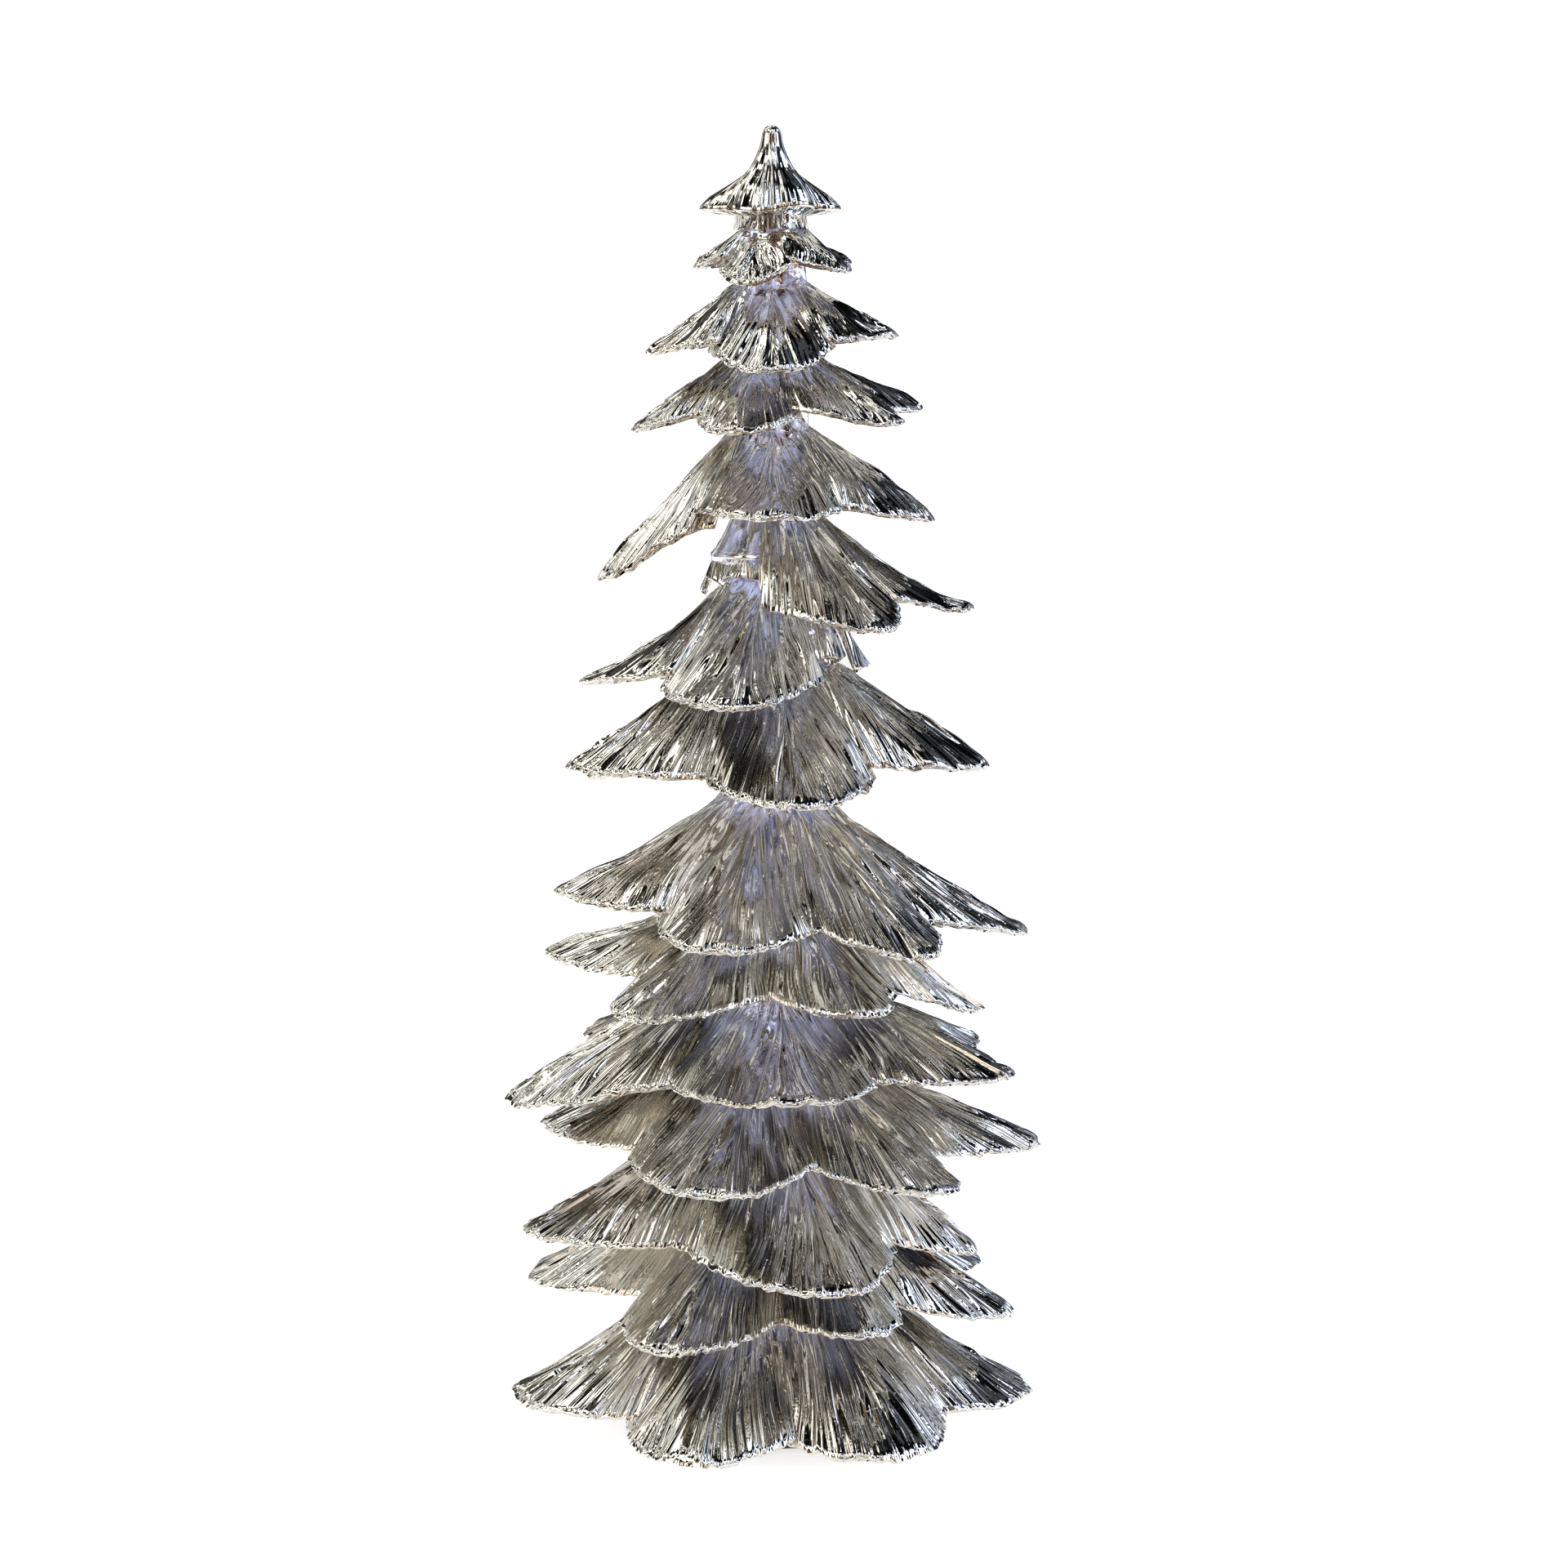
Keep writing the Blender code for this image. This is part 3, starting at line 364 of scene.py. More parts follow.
# %% The needles' relief
def needle_relief(rng, length, shape, across, t):
    """Height of the needles over the smooth sheet, in mm, on a grid with the given shape."""
    relief = np.zeros(shape)
    waver = smooth_noise(rng, shape, (max(3, int(length / 6)), 4)) * WAVER_MM
    position = across + waver * ease(0.0, 0.5, t)
    for pitch, depth, first, last in NEEDLE_LAYERS:
        count = int(length / (NEEDLE_PITCH_MM * pitch)) + 8
        widths = rng.uniform(0.55, 1.45, count) * NEEDLE_PITCH_MM * pitch
        edges = np.cumsum(widths) - 3 * NEEDLE_PITCH_MM * pitch
        depths = rng.uniform(0.35, 1.0, count) * NEEDLE_DEPTH_MM * depth
        # a lean of 1 is upright; above and below it, the rib's back moves to one side
        leans = 2 ** rng.uniform(-1.2, 1.2, count)
        index = np.clip(np.searchsorted(edges, position) - 1, 0, count - 2)
        phase = np.clip((position - edges[index]) / (edges[index + 1] - edges[index]), 0, 1)
        rib = (1 - np.abs(2 * phase ** leans[index] - 1) ** NEEDLE_BACK) * depths[index]
        patches = 0.75 + 0.5 * smooth_noise(rng, shape, (max(3, int(length / 3)), 4))
        relief += rib * ease(first, last, t) * patches
    size = min(1.0, length / FULL_RIM_MM)
    waves = smooth_noise(rng, shape, (max(3, int(length / 6)), 3)) * WAVE_MM * size
    relief += waves * ease(0.0, 0.3, t)
    ripples = smooth_noise(rng, shape, (max(4, int(length / 2)), 10)) * RIPPLE_MM
    relief += ripples * ease(0.0, 0.3, t)
    lumps = smooth_noise(rng, shape, (max(4, int(length / 4)), 8)) * LUMP_MM * size
    return relief + lumps * (1 - ease(0.08, 0.35, t))


# %% [markdown]
# ## A closed sheet
#
# A mesh that will be printed, weighed or cut must be closed, so the fan gets an underside and a
# rounded edge. The top needs seven columns for each needle. The smoother underside would waste
# them, so it has one column for every eight on the top. The edge runs round the whole sheet, and a
# zip of triangles joins it to the coarser underside. The triangles underneath are marked, because
# they take the copy of the plating with a stronger painted glow.

# %% Triangles and edges
UNDERSIDE_STEP = 8


def grid_triangles(numbers, flip):
    """Two triangles for each cell of a grid of vertex numbers."""
    a, b = numbers[:-1, :-1].ravel(), numbers[1:, :-1].ravel()
    c, d = numbers[1:, 1:].ravel(), numbers[:-1, 1:].ravel()
    triangles = np.concatenate([np.stack([a, b, c], 1), np.stack([a, c, d], 1)])
    return triangles[:, ::-1] if flip else triangles


def zip_rings(fine, fine_at, coarse, coarse_at):
    """Triangles between two closed rings, whose places along the edge are both given."""
    triangles = []
    i = j = 0
    while i < len(fine) or j < len(coarse):
        next_fine = fine_at[i + 1] if i < len(fine) else math.inf
        next_coarse = coarse_at[j + 1] if j < len(coarse) else math.inf
        here, there = fine[i % len(fine)], coarse[j % len(coarse)]
        if next_fine <= next_coarse:
            i += 1
            triangles.append((here, there, fine[i % len(fine)]))
        else:
            j += 1
            triangles.append((here, there, coarse[j % len(coarse)]))
    return np.array(triangles)


def edge_ring(halves, collar_column, places):
    """The edge of a sheet as one ring of vertex numbers, with the place of each along it."""
    one, two = halves
    a, t = places
    arc = a[collar_column:]
    parts = [
        (two[::-1, -1][:-1], 1 - a[::-1][:-1]),
        (one[:-1, -1], 1 + a[:-1]),
        (one[-1, ::-1][:-1], 3 - t[::-1][:-1]),
        (one[collar_column:, 0][::-1][:-1], 4 - (arc[::-1][:-1] - arc[0]) / (1 - arc[0])),
        (two[collar_column:, 0][:-1], 4 + (arc[:-1] - arc[0]) / (1 - arc[0])),
        (two[-1, :-1], 5 + t[:-1]),
    ]
    numbers = np.concatenate([part[0] for part in parts])
    return numbers, np.append(np.concatenate([part[1] for part in parts]), 6.0)


# %% The closed fan
# (share of the thickness down, mm outwards) of each row round the edge
EDGE_ROWS = ((0.2, 0.22), (0.5, 0.2), (0.8, -0.05), (1.0, -0.5))
EDGE_ALONG_MM = 90.0  # the edge's needle coordinate, beyond the end of every needle
print("one column underneath for", UNDERSIDE_STEP, "on top, and", len(EDGE_ROWS), "rows on the edge")


def fan_mesh(fan, rng):
    """(vertices, needle coordinates, triangles, 1 where a triangle is underneath) of one fan, in mm."""
    length = 1.15 * max(
        math.hypot(fan["reach"] - valley * math.cos(spread), valley * math.sin(spread))
        for spread, valley, _ in fan["halves"]
    )
    cells = max(8, round(length / NEEDLE_PITCH_MM * SAMPLES_PER_NEEDLE / UNDERSIDE_STEP))
    columns = cells * UNDERSIDE_STEP + 1
    rows = max(12, round((fan["reach"] - fan["collar"]) * ROWS_PER_MM))
    collar_column = round(COLLAR_NEEDLES * cells) * UNDERSIDE_STEP
    a_line, t_line = np.linspace(0, 1, columns), np.linspace(0, 1, rows)
    a, t = np.meshgrid(a_line, t_line, indexing="ij")
    shared = np.zeros((columns, rows), bool)
    shared[0] = True
    shared[: collar_column + 1, 0] = True
    vertices, coordinates, triangles, normals, lit = [], [], [], [], []
    tops, unders, surfaces = [], [], []
    total = 0
    # the tops of both halves, which share the points on the ridge and the collar
    for mirror, half in zip((1, -1), fan["halves"]):
        fray = smooth_noise(rng, (columns, 2), (round(length / FRAY_PITCH_MM), 1))[:, :1]
        fray = fray * ease(0.0, 0.05, a)
        smooth = fan_surface(fan, half, a, t * (1 + FRAY * fray))
        upward = surface_normals(smooth)
        upward[: collar_column + 1, 0, 1] = 0
        relief = needle_relief(rng, length, smooth.shape[:2], a * length, t)
        relief *= 1 - 0.8 * (1 - ease(0.02, 0.14, a)) * ease(0.5, 0.9, t)
        if mirror > 0:
            first_relief, first_normals = relief, upward
            mask = np.ones((columns, rows), bool)
        else:
            relief = np.where(shared, first_relief, relief)
            mask = ~shared
        surfaces.append((smooth, upward, relief))
        top = (smooth + upward * relief[..., None]) * (1, mirror, 1)
        numbers = np.cumsum(mask.ravel()).reshape(mask.shape) - 1 + total
        if mirror < 0:
            numbers = np.where(shared, tops[0], numbers)
        tops.append(numbers)
        vertices.append(top[mask])
        normals.append((upward * (1, mirror, 1))[mask])
        coordinates.append(np.stack([a * length * mirror, t * fan["reach"]], axis=-1)[mask])
        total += int(mask.sum())
        triangles.append(grid_triangles(numbers, flip=mirror > 0))
        lit.append(np.zeros(len(triangles[-1])))
    # the undersides, whose needle coordinates are simply their plan at half size
    step = slice(None, None, UNDERSIDE_STEP)
    for mirror, (smooth, upward, relief) in zip((1, -1), surfaces):
        under = (smooth + upward * (0.5 * relief[..., None] - SHEET_MM))[step] * (1, mirror, 1)
        mask = np.ones(under.shape[:2], bool) if mirror > 0 else ~shared[step]
        numbers = np.cumsum(mask.ravel()).reshape(mask.shape) - 1 + total
        if mirror < 0:
            numbers = np.where(shared[step], unders[0], numbers)
        unders.append(numbers)
        vertices.append(under[mask])
        coordinates.append((under[..., :2] * 0.5)[mask])
        total += int(mask.sum())
        triangles.append(grid_triangles(numbers, flip=mirror < 0))
        lit.append(np.ones(len(triangles[-1])))

    # the edge, which goes down and round in rows and is zipped to the underside
    ring, ring_at = edge_ring(tops, collar_column, (a_line, t_line))
    low_places = (a_line[::UNDERSIDE_STEP], t_line)
    low_ring, low_at = edge_ring(unders, collar_column // UNDERSIDE_STEP, low_places)
    every = np.concatenate(vertices)
    upward = np.concatenate(normals)[ring]
    onward = np.roll(every[ring], -4, axis=0) - np.roll(every[ring], 4, axis=0)
    outward = np.cross(onward, upward)
    outward /= np.maximum(np.linalg.norm(outward, axis=1, keepdims=True), 1e-6)
    last = ring
    for down, out in EDGE_ROWS:
        row = every[ring] - upward * SHEET_MM * down + outward * out
        vertices.append(row)
        coordinates.append(np.stack([ring_at[:-1] * length, np.full(len(row), EDGE_ALONG_MM)], 1))
        numbers = total + np.arange(len(row))
        total += len(row)
        pair = np.stack([np.append(last, last[0]), np.append(numbers, numbers[0])], axis=1)
        triangles.append(grid_triangles(pair, flip=True))
        lit.append(np.zeros(len(triangles[-1])))
        last = numbers
    triangles.append(zip_rings(last, ring_at, low_ring, low_at))
    lit.append(np.zeros(len(triangles[-1])))
    return tuple(np.concatenate(part) for part in (vertices, coordinates, triangles, lit))


# %% Placing a fan and making an object
def place_fan(vertices, azimuth):
    """Turns a fan's own frame (outwards, sideways, up) to its azimuth: 0 is the front, -Y."""
    angle = math.radians(azimuth)
    outward = np.array([math.sin(angle), -math.cos(angle), 0])
    sideways = np.array([math.cos(angle), math.sin(angle), 0])
    return vertices[:, :1] * outward + vertices[:, 1:2] * sideways + vertices[:, 2:] * (0, 0, 1)


def mesh_object(name, pieces, materials, slots=None):
    """One object from (vertices, needle coordinates, triangles) pieces in mm.

    Slots holds the number of the material for each triangle.
    """
    vertices = np.concatenate([piece[0] for piece in pieces]) * MM
    flat = np.concatenate([piece[1] for piece in pieces])
    starts = np.cumsum([0] + [len(piece[0]) for piece in pieces[:-1]])
    triangles = np.concatenate([piece[2] + start for piece, start in zip(pieces, starts)])
    mesh = bpy.data.meshes.new(name)
    mesh.vertices.add(len(vertices))
    mesh.vertices.foreach_set("co", vertices.astype(np.float32).ravel())
    mesh.loops.add(len(triangles) * 3)
    mesh.loops.foreach_set("vertex_index", triangles.astype(np.int32).ravel())
    mesh.polygons.add(len(triangles))
    mesh.polygons.foreach_set("loop_start", np.arange(0, len(triangles) * 3, 3, dtype=np.int32))
    if slots is not None:
        mesh.polygons.foreach_set("material_index", slots.astype(np.int32))
    mesh.update(calc_edges=True)
    layer = mesh.uv_layers.new(name="needles")
    layer.data.foreach_set("uv", flat[triangles.ravel()].astype(np.float32).ravel())
    mesh.shade_smooth()
    for material in materials:
        mesh.materials.append(material)
    obj = bpy.data.objects.new(name, mesh)
    bpy.context.scene.collection.objects.link(obj)
    return obj


# %% [markdown]
# ## The core of a skirt
#
# Between the fans the moulding is a lumpy bell round the stem, with a collar below it that stands on
# the next skirt. It is a turned shape that was never quite true, so it is built as a ring of
# columns round the axis whose radius wavers. The light inside shows most here, so the bell takes
# the copy of the plating with a stronger painted glow.

# %% The bell
BELL_COLUMNS = 120
BELL_WALL_MM = 1.2


def ring_mesh(outline, rng, waver, columns=BELL_COLUMNS, shape=None):
    """A closed ring from an outline of (radius, height) points in mm, with a wavering radius."""
    rows = len(outline)
    radius = np.repeat(np.array([point[0] for point in outline])[None], columns, axis=0)
    height = np.repeat(np.array([point[1] for point in outline])[None], columns, axis=0)
    angle = np.linspace(0, 2 * math.pi, columns, endpoint=False)
    noise = smooth_noise(rng, (columns + 1, rows), (12, 5))
    blend = ease(0.75, 1.0, np.linspace(0, 1, columns + 1))[:, None]
    noise = noise * (1 - blend) + noise[:1] * blend
    radius = radius * (1 + noise[:-1] * waver)
    if shape is not None:
        radius, height = shape(angle[:, None], radius, height)
    x, y = radius * np.sin(angle)[:, None], -radius * np.cos(angle)[:, None]
    vertices = np.stack([x, y, height], axis=-1).reshape(-1, 3)
    numbers = np.arange(columns * rows).reshape(columns, rows)
    closed = np.concatenate([numbers, numbers[:1]])
    closed = np.concatenate([closed, closed[:, :1]], axis=1)
    flat = np.stack([np.repeat(angle[:, None] * 12, rows, axis=1), height], axis=-1)
    return vertices, flat.reshape(-1, 2), grid_triangles(closed, flip=True)


def bell(rng, top, bottom, collar_radius, reach, drop):
    """The bell and collar of one skirt."""
    wall = BELL_WALL_MM
    shares = np.linspace(0, 1, 7)
    radii = collar_radius + (reach - collar_radius) * shares
    heights = top - drop * (1 - (1 - shares) ** 1.3)
    outer = list(zip(radii, heights))
    inner = [(radius - 0.4, height - wall * 1.3) for radius, height in outer[::-1][:-2]]
    bore = collar_radius - 1.6
    collar = [(collar_radius + 1.0, heights[0] - 7), (collar_radius + 1.4, bottom), (bore, bottom)]
    outline = [(bore, top)] + outer + inner + collar
    return ring_mesh(outline, rng, 0.05)


# %% [markdown]
# ## The skirts
#
# Each skirt is a list of fans. A fan is (azimuth in degrees, reach in mm, lift of its tip over the
# skirt's rim height in mm, sweep). A sweep above 1 makes the ridge steep at the stem and flat at the
# tip, and below 1 it arches over and hangs down. The collar's top comes from the frame, and the
# rim lies a drop below it. Neighbours share the valley between them and overlap a little there. A
# gap wider than 120 degrees is left open, as on the real tree, down to a narrow hem.

# %% The fans of each skirt
SKIRT_FANS = {
    "skirt_02": (11, [
        (-88, 18.4, 2, 1.2), (-22, 17.5, -2, 1.1), (60, 20.5, 1, 1.2),
        (108, 19, 3, 1.2), (165, 16, 3, 1.1), (-140, 16, 3, 1.1),
    ]),
    "skirt_03": (18, [
        (-85, 29.5, 1, 1.15), (0, 30, -3, 1.1), (80, 30, 5, 1.2),
        (145, 26, 7, 1.1), (-150, 26, 6, 1.1),
    ]),
    "skirt_04": (18, [
        (-75, 33.5, -1, 1.15), (-20, 29, -1, 1.1), (50, 37.5, 1, 1.15),
        (105, 37, 4, 1.1), (160, 30, 6, 1.1), (-130, 31, 5, 1.1),
    ]),
    "skirt_05": (22, [
        (-80, 41.5, -14, 1.0), (0, 40, 2, 1.15), (80, 38.5, 0, 0.9),
        (140, 38, 1, 1.1), (-130, 36, -3, 1.1),
    ]),
    "skirt_06": (25, [
        (35, 44, -3, 1.2), (85, 48, 0, 1.6), (145, 44, 1, 1.1),
        (-170, 38, -2, 1.1), (-28, 15, 8, 1.0), (-85, 15, 7, 1.0),
    ]),
    "skirt_07": (27, [
        (-90, 45.7, 1, 1.5), (-12, 46, -1, 1.1), (155, 40, 1, 1.1),
        (-150, 46, -1, 1.1), (50, 18, 8, 1.0), (100, 17, 7, 1.0),
    ]),
    "skirt_08": (30, [
        (-72, 50, 3, 1.05), (8, 50, -2, 1.1), (78, 52.2, 3, 1.0),
        (135, 50, -2, 1.1), (-120, 50, -4, 1.1), (180, 49, 0, 1.1),
    ]),
    "skirt_09": (31, [
        (-80, 52.5, 8, 1.4), (-14, 52, 0, 1.15), (42, 54, -3, 1.2),
        (90, 61.4, -3, 1.2), (145, 56, 2, 1.1), (-140, 54, -1, 1.1),
    ]),
    "skirt_10": (24, [
        (-42, 50, 0, 1.1), (-110, 58.3, 7, 1.1), (110, 54, -8, 1.0),
        (175, 55, 0, 1.1), (35, 40, 0, 1.1),
    ]),
    "skirt_11": (26, [
        (-80, 64.5, -4, 0.95), (5, 56, 4, 1.2), (72, 59.5, 3, 1.1),
        (128, 62, 2, 1.1), (-135, 62, 4, 1.1), (180, 58, 0, 1.1),
    ]),
    "skirt_12": (27, [
        (-115, 60.5, 2, 1.1), (-14, 56, 0, 1.1), (46, 58, -2, 1.15),
        (90, 64.5, 1, 1.1), (150, 59, 0, 1.1), (-165, 58.5, 0, 1.1),
    ]),
    "skirt_13": (30, [
        (-75, 61, 3, 1.15), (16, 56, -3, 1.1), (150, 59, 0, 1.1),
        (-140, 60, -2, 1.1), (85, 50, -4, 1.1),
    ]),
    "skirt_14": (30, [
        (-110, 63.4, 1, 1.1), (-25, 58, 0, 1.15), (78, 59, -1, 1.1),
        (122, 60, 2, 1.1), (175, 58, 0, 1.1), (28, 50, 2, 1.1),
    ]),
    "skirt_15": (36, [
        (-72, 63.3, 4, 1.1), (-20, 59, -1, 1.0), (32, 59, -1, 1.0),
        (88, 63, 2, 1.15), (145, 62, -1, 1.0), (-145, 62, -1, 1.0),
    ]),
}
VALLEY_SHARE = 0.62  # the valleys' distance from the axis, as a share of the neighbours' reach
SMALL_VALLEY_SHARE = 0.2  # added to it on the smallest fans
VALLEY_RISE_MM = 3.0
OPEN_GAP = 120.0  # degrees; neighbours further apart than this leave a gap
HEM_SPREAD = 42.0  # degrees from the ridge to the hem beside such a gap
OVERLAP = 6.0  # degrees that neighbours reach over their valley
SHINGLE_MM, RIM_SHINGLE_MM = 0.8, 0.6  # every other fan's root and rim lie this much lower
COLLAR_MM, COLLAR_GROWTH_MM = 7.0, 5.0  # the top collar's radius, and how much wider the last one is
TOP_SKIRT_MM, STACK_MM = 286, 246  # the first collar's top, and the height from there to the last
CASE_HEM_MM = 42.0  # the lowest skirt stays this wide in its valleys, to hide the case


def fan_halves(fans, index, rim, hem, rng):
    """For each side of a fan: the valley's azimuth from the ridge, its distance and its height."""
    azimuth, reach, lift, _ = fans[index]
    halves = []
    for direction in (1, -1):
        others = [other for other in fans if other[0] != azimuth and other[1] > 0.6 * reach]
        gaps = [((other[0] - azimuth) * direction % 360, other) for other in others]
        gap, neighbour = min(gaps, key=lambda item: item[0])
        shorter = min(reach, neighbour[1])
        spread = gap / 2 * (1 + 0.3 * (reach - neighbour[1]) / (reach + neighbour[1])) + OVERLAP
        if gap > OPEN_GAP:
            spread, shorter = HEM_SPREAD, reach * 0.85
        share = VALLEY_SHARE + SMALL_VALLEY_SHARE * ease(36.0, 16.0, reach)
        distance = max(shorter * share * rng.uniform(0.92, 1.06), hem)
        height = rim + VALLEY_RISE_MM * rng.uniform(0.6, 1.5) + 0.25 * lift
        halves.append((math.radians(spread), distance, height))
    return halves


def build_skirt(number, name, drop, fans, top, collar_bottom):
    """One skirt: its fans and its bell, joined in one piece that stands for the CAD skirt."""
    rng = np.random.default_rng(100 + number)
    rim = top - drop
    collar = COLLAR_MM + COLLAR_GROWTH_MM * (TOP_SKIRT_MM - top) / STACK_MM
    hem = CASE_HEM_MM if name == "skirt_15" else 0.0
    pieces, slots = [], []
    for index, (azimuth, reach, lift, sweep) in enumerate(fans):
        fan = {
            "reach": reach,
            "collar": collar,
            "top": top - SHINGLE_MM * (index % 2),
            "tip": rim + lift,
            "sweep": sweep,
            "halves": fan_halves(fans, index, rim - RIM_SHINGLE_MM * (index % 2), hem, rng),
        }
        vertices, flat, triangles, lit = fan_mesh(fan, rng)
        pieces.append((place_fan(vertices, azimuth), flat, triangles))
        slots.append(lit)
    widest = max(fan[1] for fan in fans)
    bells = bell(rng, top + 0.3, collar_bottom, collar, collar + widest * 0.14, drop * 0.5)
    pieces.append(bells)
    # the undersides and the bell take the second material, the plating with a stronger painted glow
    slots = np.concatenate(slots + [np.ones(len(bells[2]))])
    obj = mesh_object(name.replace("skirt", "needle_skirt"), pieces, [silver, strong_painted_glow_silver], slots)
    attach(obj, "tree")
    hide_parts(name)
    return len(obj.data.polygons)


# %% Build the skirts
names = list(SKIRT_FANS)
tops = {name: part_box(name)[1].z / MM for name in names}
faces = 0
for number, name in enumerate(names):
    drop, fans = SKIRT_FANS[name]
    below = tops[names[number + 1]] if number + 1 < len(names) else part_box("case_body")[1].z / MM
    made = build_skirt(number, name, drop, fans, tops[name], below - 0.5)
    faces += made
    print(f"{name}: {len(fans)} fans, {made} faces")
print("faces in all skirts:", faces)

# %% [markdown]
# ## The cap
#
# The tip is a soft round spike that flares into a little skirt of its own. It is turned like the
# bells, and pulled out into points where its small branches are.

# %% The cap's shape
# (azimuth, reach in mm, rise in mm) of each small branch
CAP_POINTS = [
    (-88, 16.0, 0), (-22, 12, -0.6), (38, 12.5, 0.8),
    (92, 16.0, 0), (160, 13, 0), (-150, 13, 0.5),
]
CAP_POINT_WIDTH = 34  # degrees from a branch's middle to where it ends
CAP_VALLEY_MM = 11.4  # reach of the flare between the branches
CAP_NECK_MM = 8.2
# (depth below the tip, radius) in mm, down the outside
CAP_FLARE = [
    (0.0, 0.2), (0.15, 0.9), (0.5, 1.5), (1.2, 2.0), (2.1, 2.3), (3.5, 2.5), (5.0, 2.9), (6.5, 3.5),
    (8.2, 4.3), (9.8, 5.2), (11.5, 6.6), (13.2, 8.6), (14.9, 10.4), (16.5, 12.0), (17.8, 12.9),
    (18.7, 13.6),
]


def cap_outline(tip, bottom):
    """The cap's section in mm: over the spike, down the flare, and back up inside the neck."""
    outline = [(radius, tip - depth) for depth, radius in CAP_FLARE]
    rim = outline[-1][1]
    outline += [(13.8, rim - 0.7), (13.2, rim - 1.3), (11.0, rim - 1.9), (CAP_NECK_MM, rim - 2.4)]
    outline += [(CAP_NECK_MM + 0.3, bottom), (6.4, bottom), (6.3, tip - 20.0), (0.3, tip - 19.8)]
    return outline


def cap_points(angle, radius, height):
    """Pulls the flare out into points and grooves it."""
    degrees = np.degrees(angle)
    pull = np.zeros_like(degrees)
    lift = np.zeros_like(degrees)
    for azimuth, reach, rise in CAP_POINTS:
        away = np.abs((degrees - azimuth + 180) % 360 - 180) / CAP_POINT_WIDTH
        weight = np.cos(np.clip(away, 0, 1) * math.pi / 2) ** 1.2
        pull = np.maximum(pull, weight * (reach - CAP_VALLEY_MM) / 3.0)
        lift = lift + weight * rise
    flare = ease(6.0, 14.0, radius)
    fine = 0.13 * np.sin(angle * 37 + 3 * np.sin(angle * 5))
    grooves = (fine + 0.12 * np.sin(angle * 23)) * ease(3.0, 9.0, radius)
    grooves = grooves * (height > height.min() + 3)
    radius = radius * (1 + flare * (pull * 0.26 - 0.2)) + grooves
    return radius, height + lift * flare


# %% Build the cap
cap_low, cap_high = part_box("cap")
cap_rng = np.random.default_rng(7)
cap_section = cap_outline(cap_high.z / MM - 0.1, cap_low.z / MM - 0.6)
cap_piece = ring_mesh(cap_section, cap_rng, 0.03, columns=264, shape=cap_points)
cap = mesh_object("needle_cap", [cap_piece], [cap_silver])
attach(cap, "tree")
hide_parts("cap")
print("cap faces:", len(cap.data.polygons))

# %% [markdown]
# ## The stem and the light
#
# The stem is a clear tube that carries the light of nine LEDs. Acrylic that is lit along its length
# glows all over, because it scatters a little. Seen between the skirts it is simply a cool bright
# column, so it is drawn as one: clear plastic that gives off a soft light of its own.


# %% Lit acrylic and LEDs
def lit_acrylic():
    material, tree, shader = new_material("lit_acrylic")
    place = add(tree, "ShaderNodeTexCoord").outputs
    streaks = add(tree, "ShaderNodeTexNoise", Vector=place["Object"], Scale=1 / (14 * MM), Detail=2.0)
    level = add(
        tree,
        "ShaderNodeMapRange",
        Value=streaks.outputs["Fac"],
        From_Min=0.3,
        From_Max=0.7,
        To_Min=0.7,
        To_Max=1.6,
    )
    tree.links.new(level.outputs["Result"], shader.inputs["Emission Strength"])
    shader.inputs["Emission Color"].default_value = linear("C4CBFF")
    shader.inputs["Base Color"].default_value = linear("E8ECF8")
    shader.inputs["Roughness"].default_value = 0.12
    shader.inputs["IOR"].default_value = 1.49
    return material


def led_lens():
    material, tree, shader = new_material("led_silicone")
    place = add(tree, "ShaderNodeTexCoord").outputs
    dome = add(tree, "ShaderNodeTexNoise", Vector=place["Object"], Scale=1 / (1.5 * MM))
    tint = ramp(tree, dome.outputs["Fac"], [(0.4, "FFF6C8"), (0.6, "F2E39A")])
    tree.links.new(tint, shader.inputs["Base Color"])
    shader.inputs["Emission Color"].default_value = linear("E4EAFF")
    shader.inputs["Emission Strength"].default_value = 12.0
    shader.inputs["Roughness"].default_value = 0.35
    return material


# %% [markdown]
# ## The case and what is in it
#
# The case is moulded ABS with a fine spark texture, which is a soft sheen broken up by grain. The
# feet are rubber, the contacts nickel-plated steel, the board is glass fibre under a white or
# green mask, and the leads are PVC. Each needs little more than its colour, its gloss and its
# grain, so one recipe with different values serves them all.


# %% Plain finishes
def grained(name, dark, light, grain_mm, depth_mm, gloss, metallic=0.0):
    """A finish with a fine grain. Gloss is the lowest and the highest roughness."""
    material, tree, shader = new_material(name)
    place = add(tree, "ShaderNodeTexCoord").outputs
    grain = add(tree, "ShaderNodeTexNoise", Vector=place["Object"], Scale=1 / (grain_mm * MM), Detail=5.0)
    tint = ramp(tree, grain.outputs["Fac"], [(0.35, dark), (0.65, light)])
    tree.links.new(tint, shader.inputs["Base Color"])
    rough = add(
        tree,
        "ShaderNodeMapRange",
        Value=grain.outputs["Fac"],
        From_Min=0.3,
        From_Max=0.7,
        To_Min=gloss[0],
        To_Max=gloss[1],
    )
    tree.links.new(rough.outputs["Result"], shader.inputs["Roughness"])
    relief = add(
        tree, "ShaderNodeBump", Height=grain.outputs["Fac"], Strength=0.4, Distance=depth_mm * MM
    )
    tree.links.new(relief.outputs["Normal"], shader.inputs["Normal"])
    shader.inputs["Metallic"].default_value = metallic
    return material


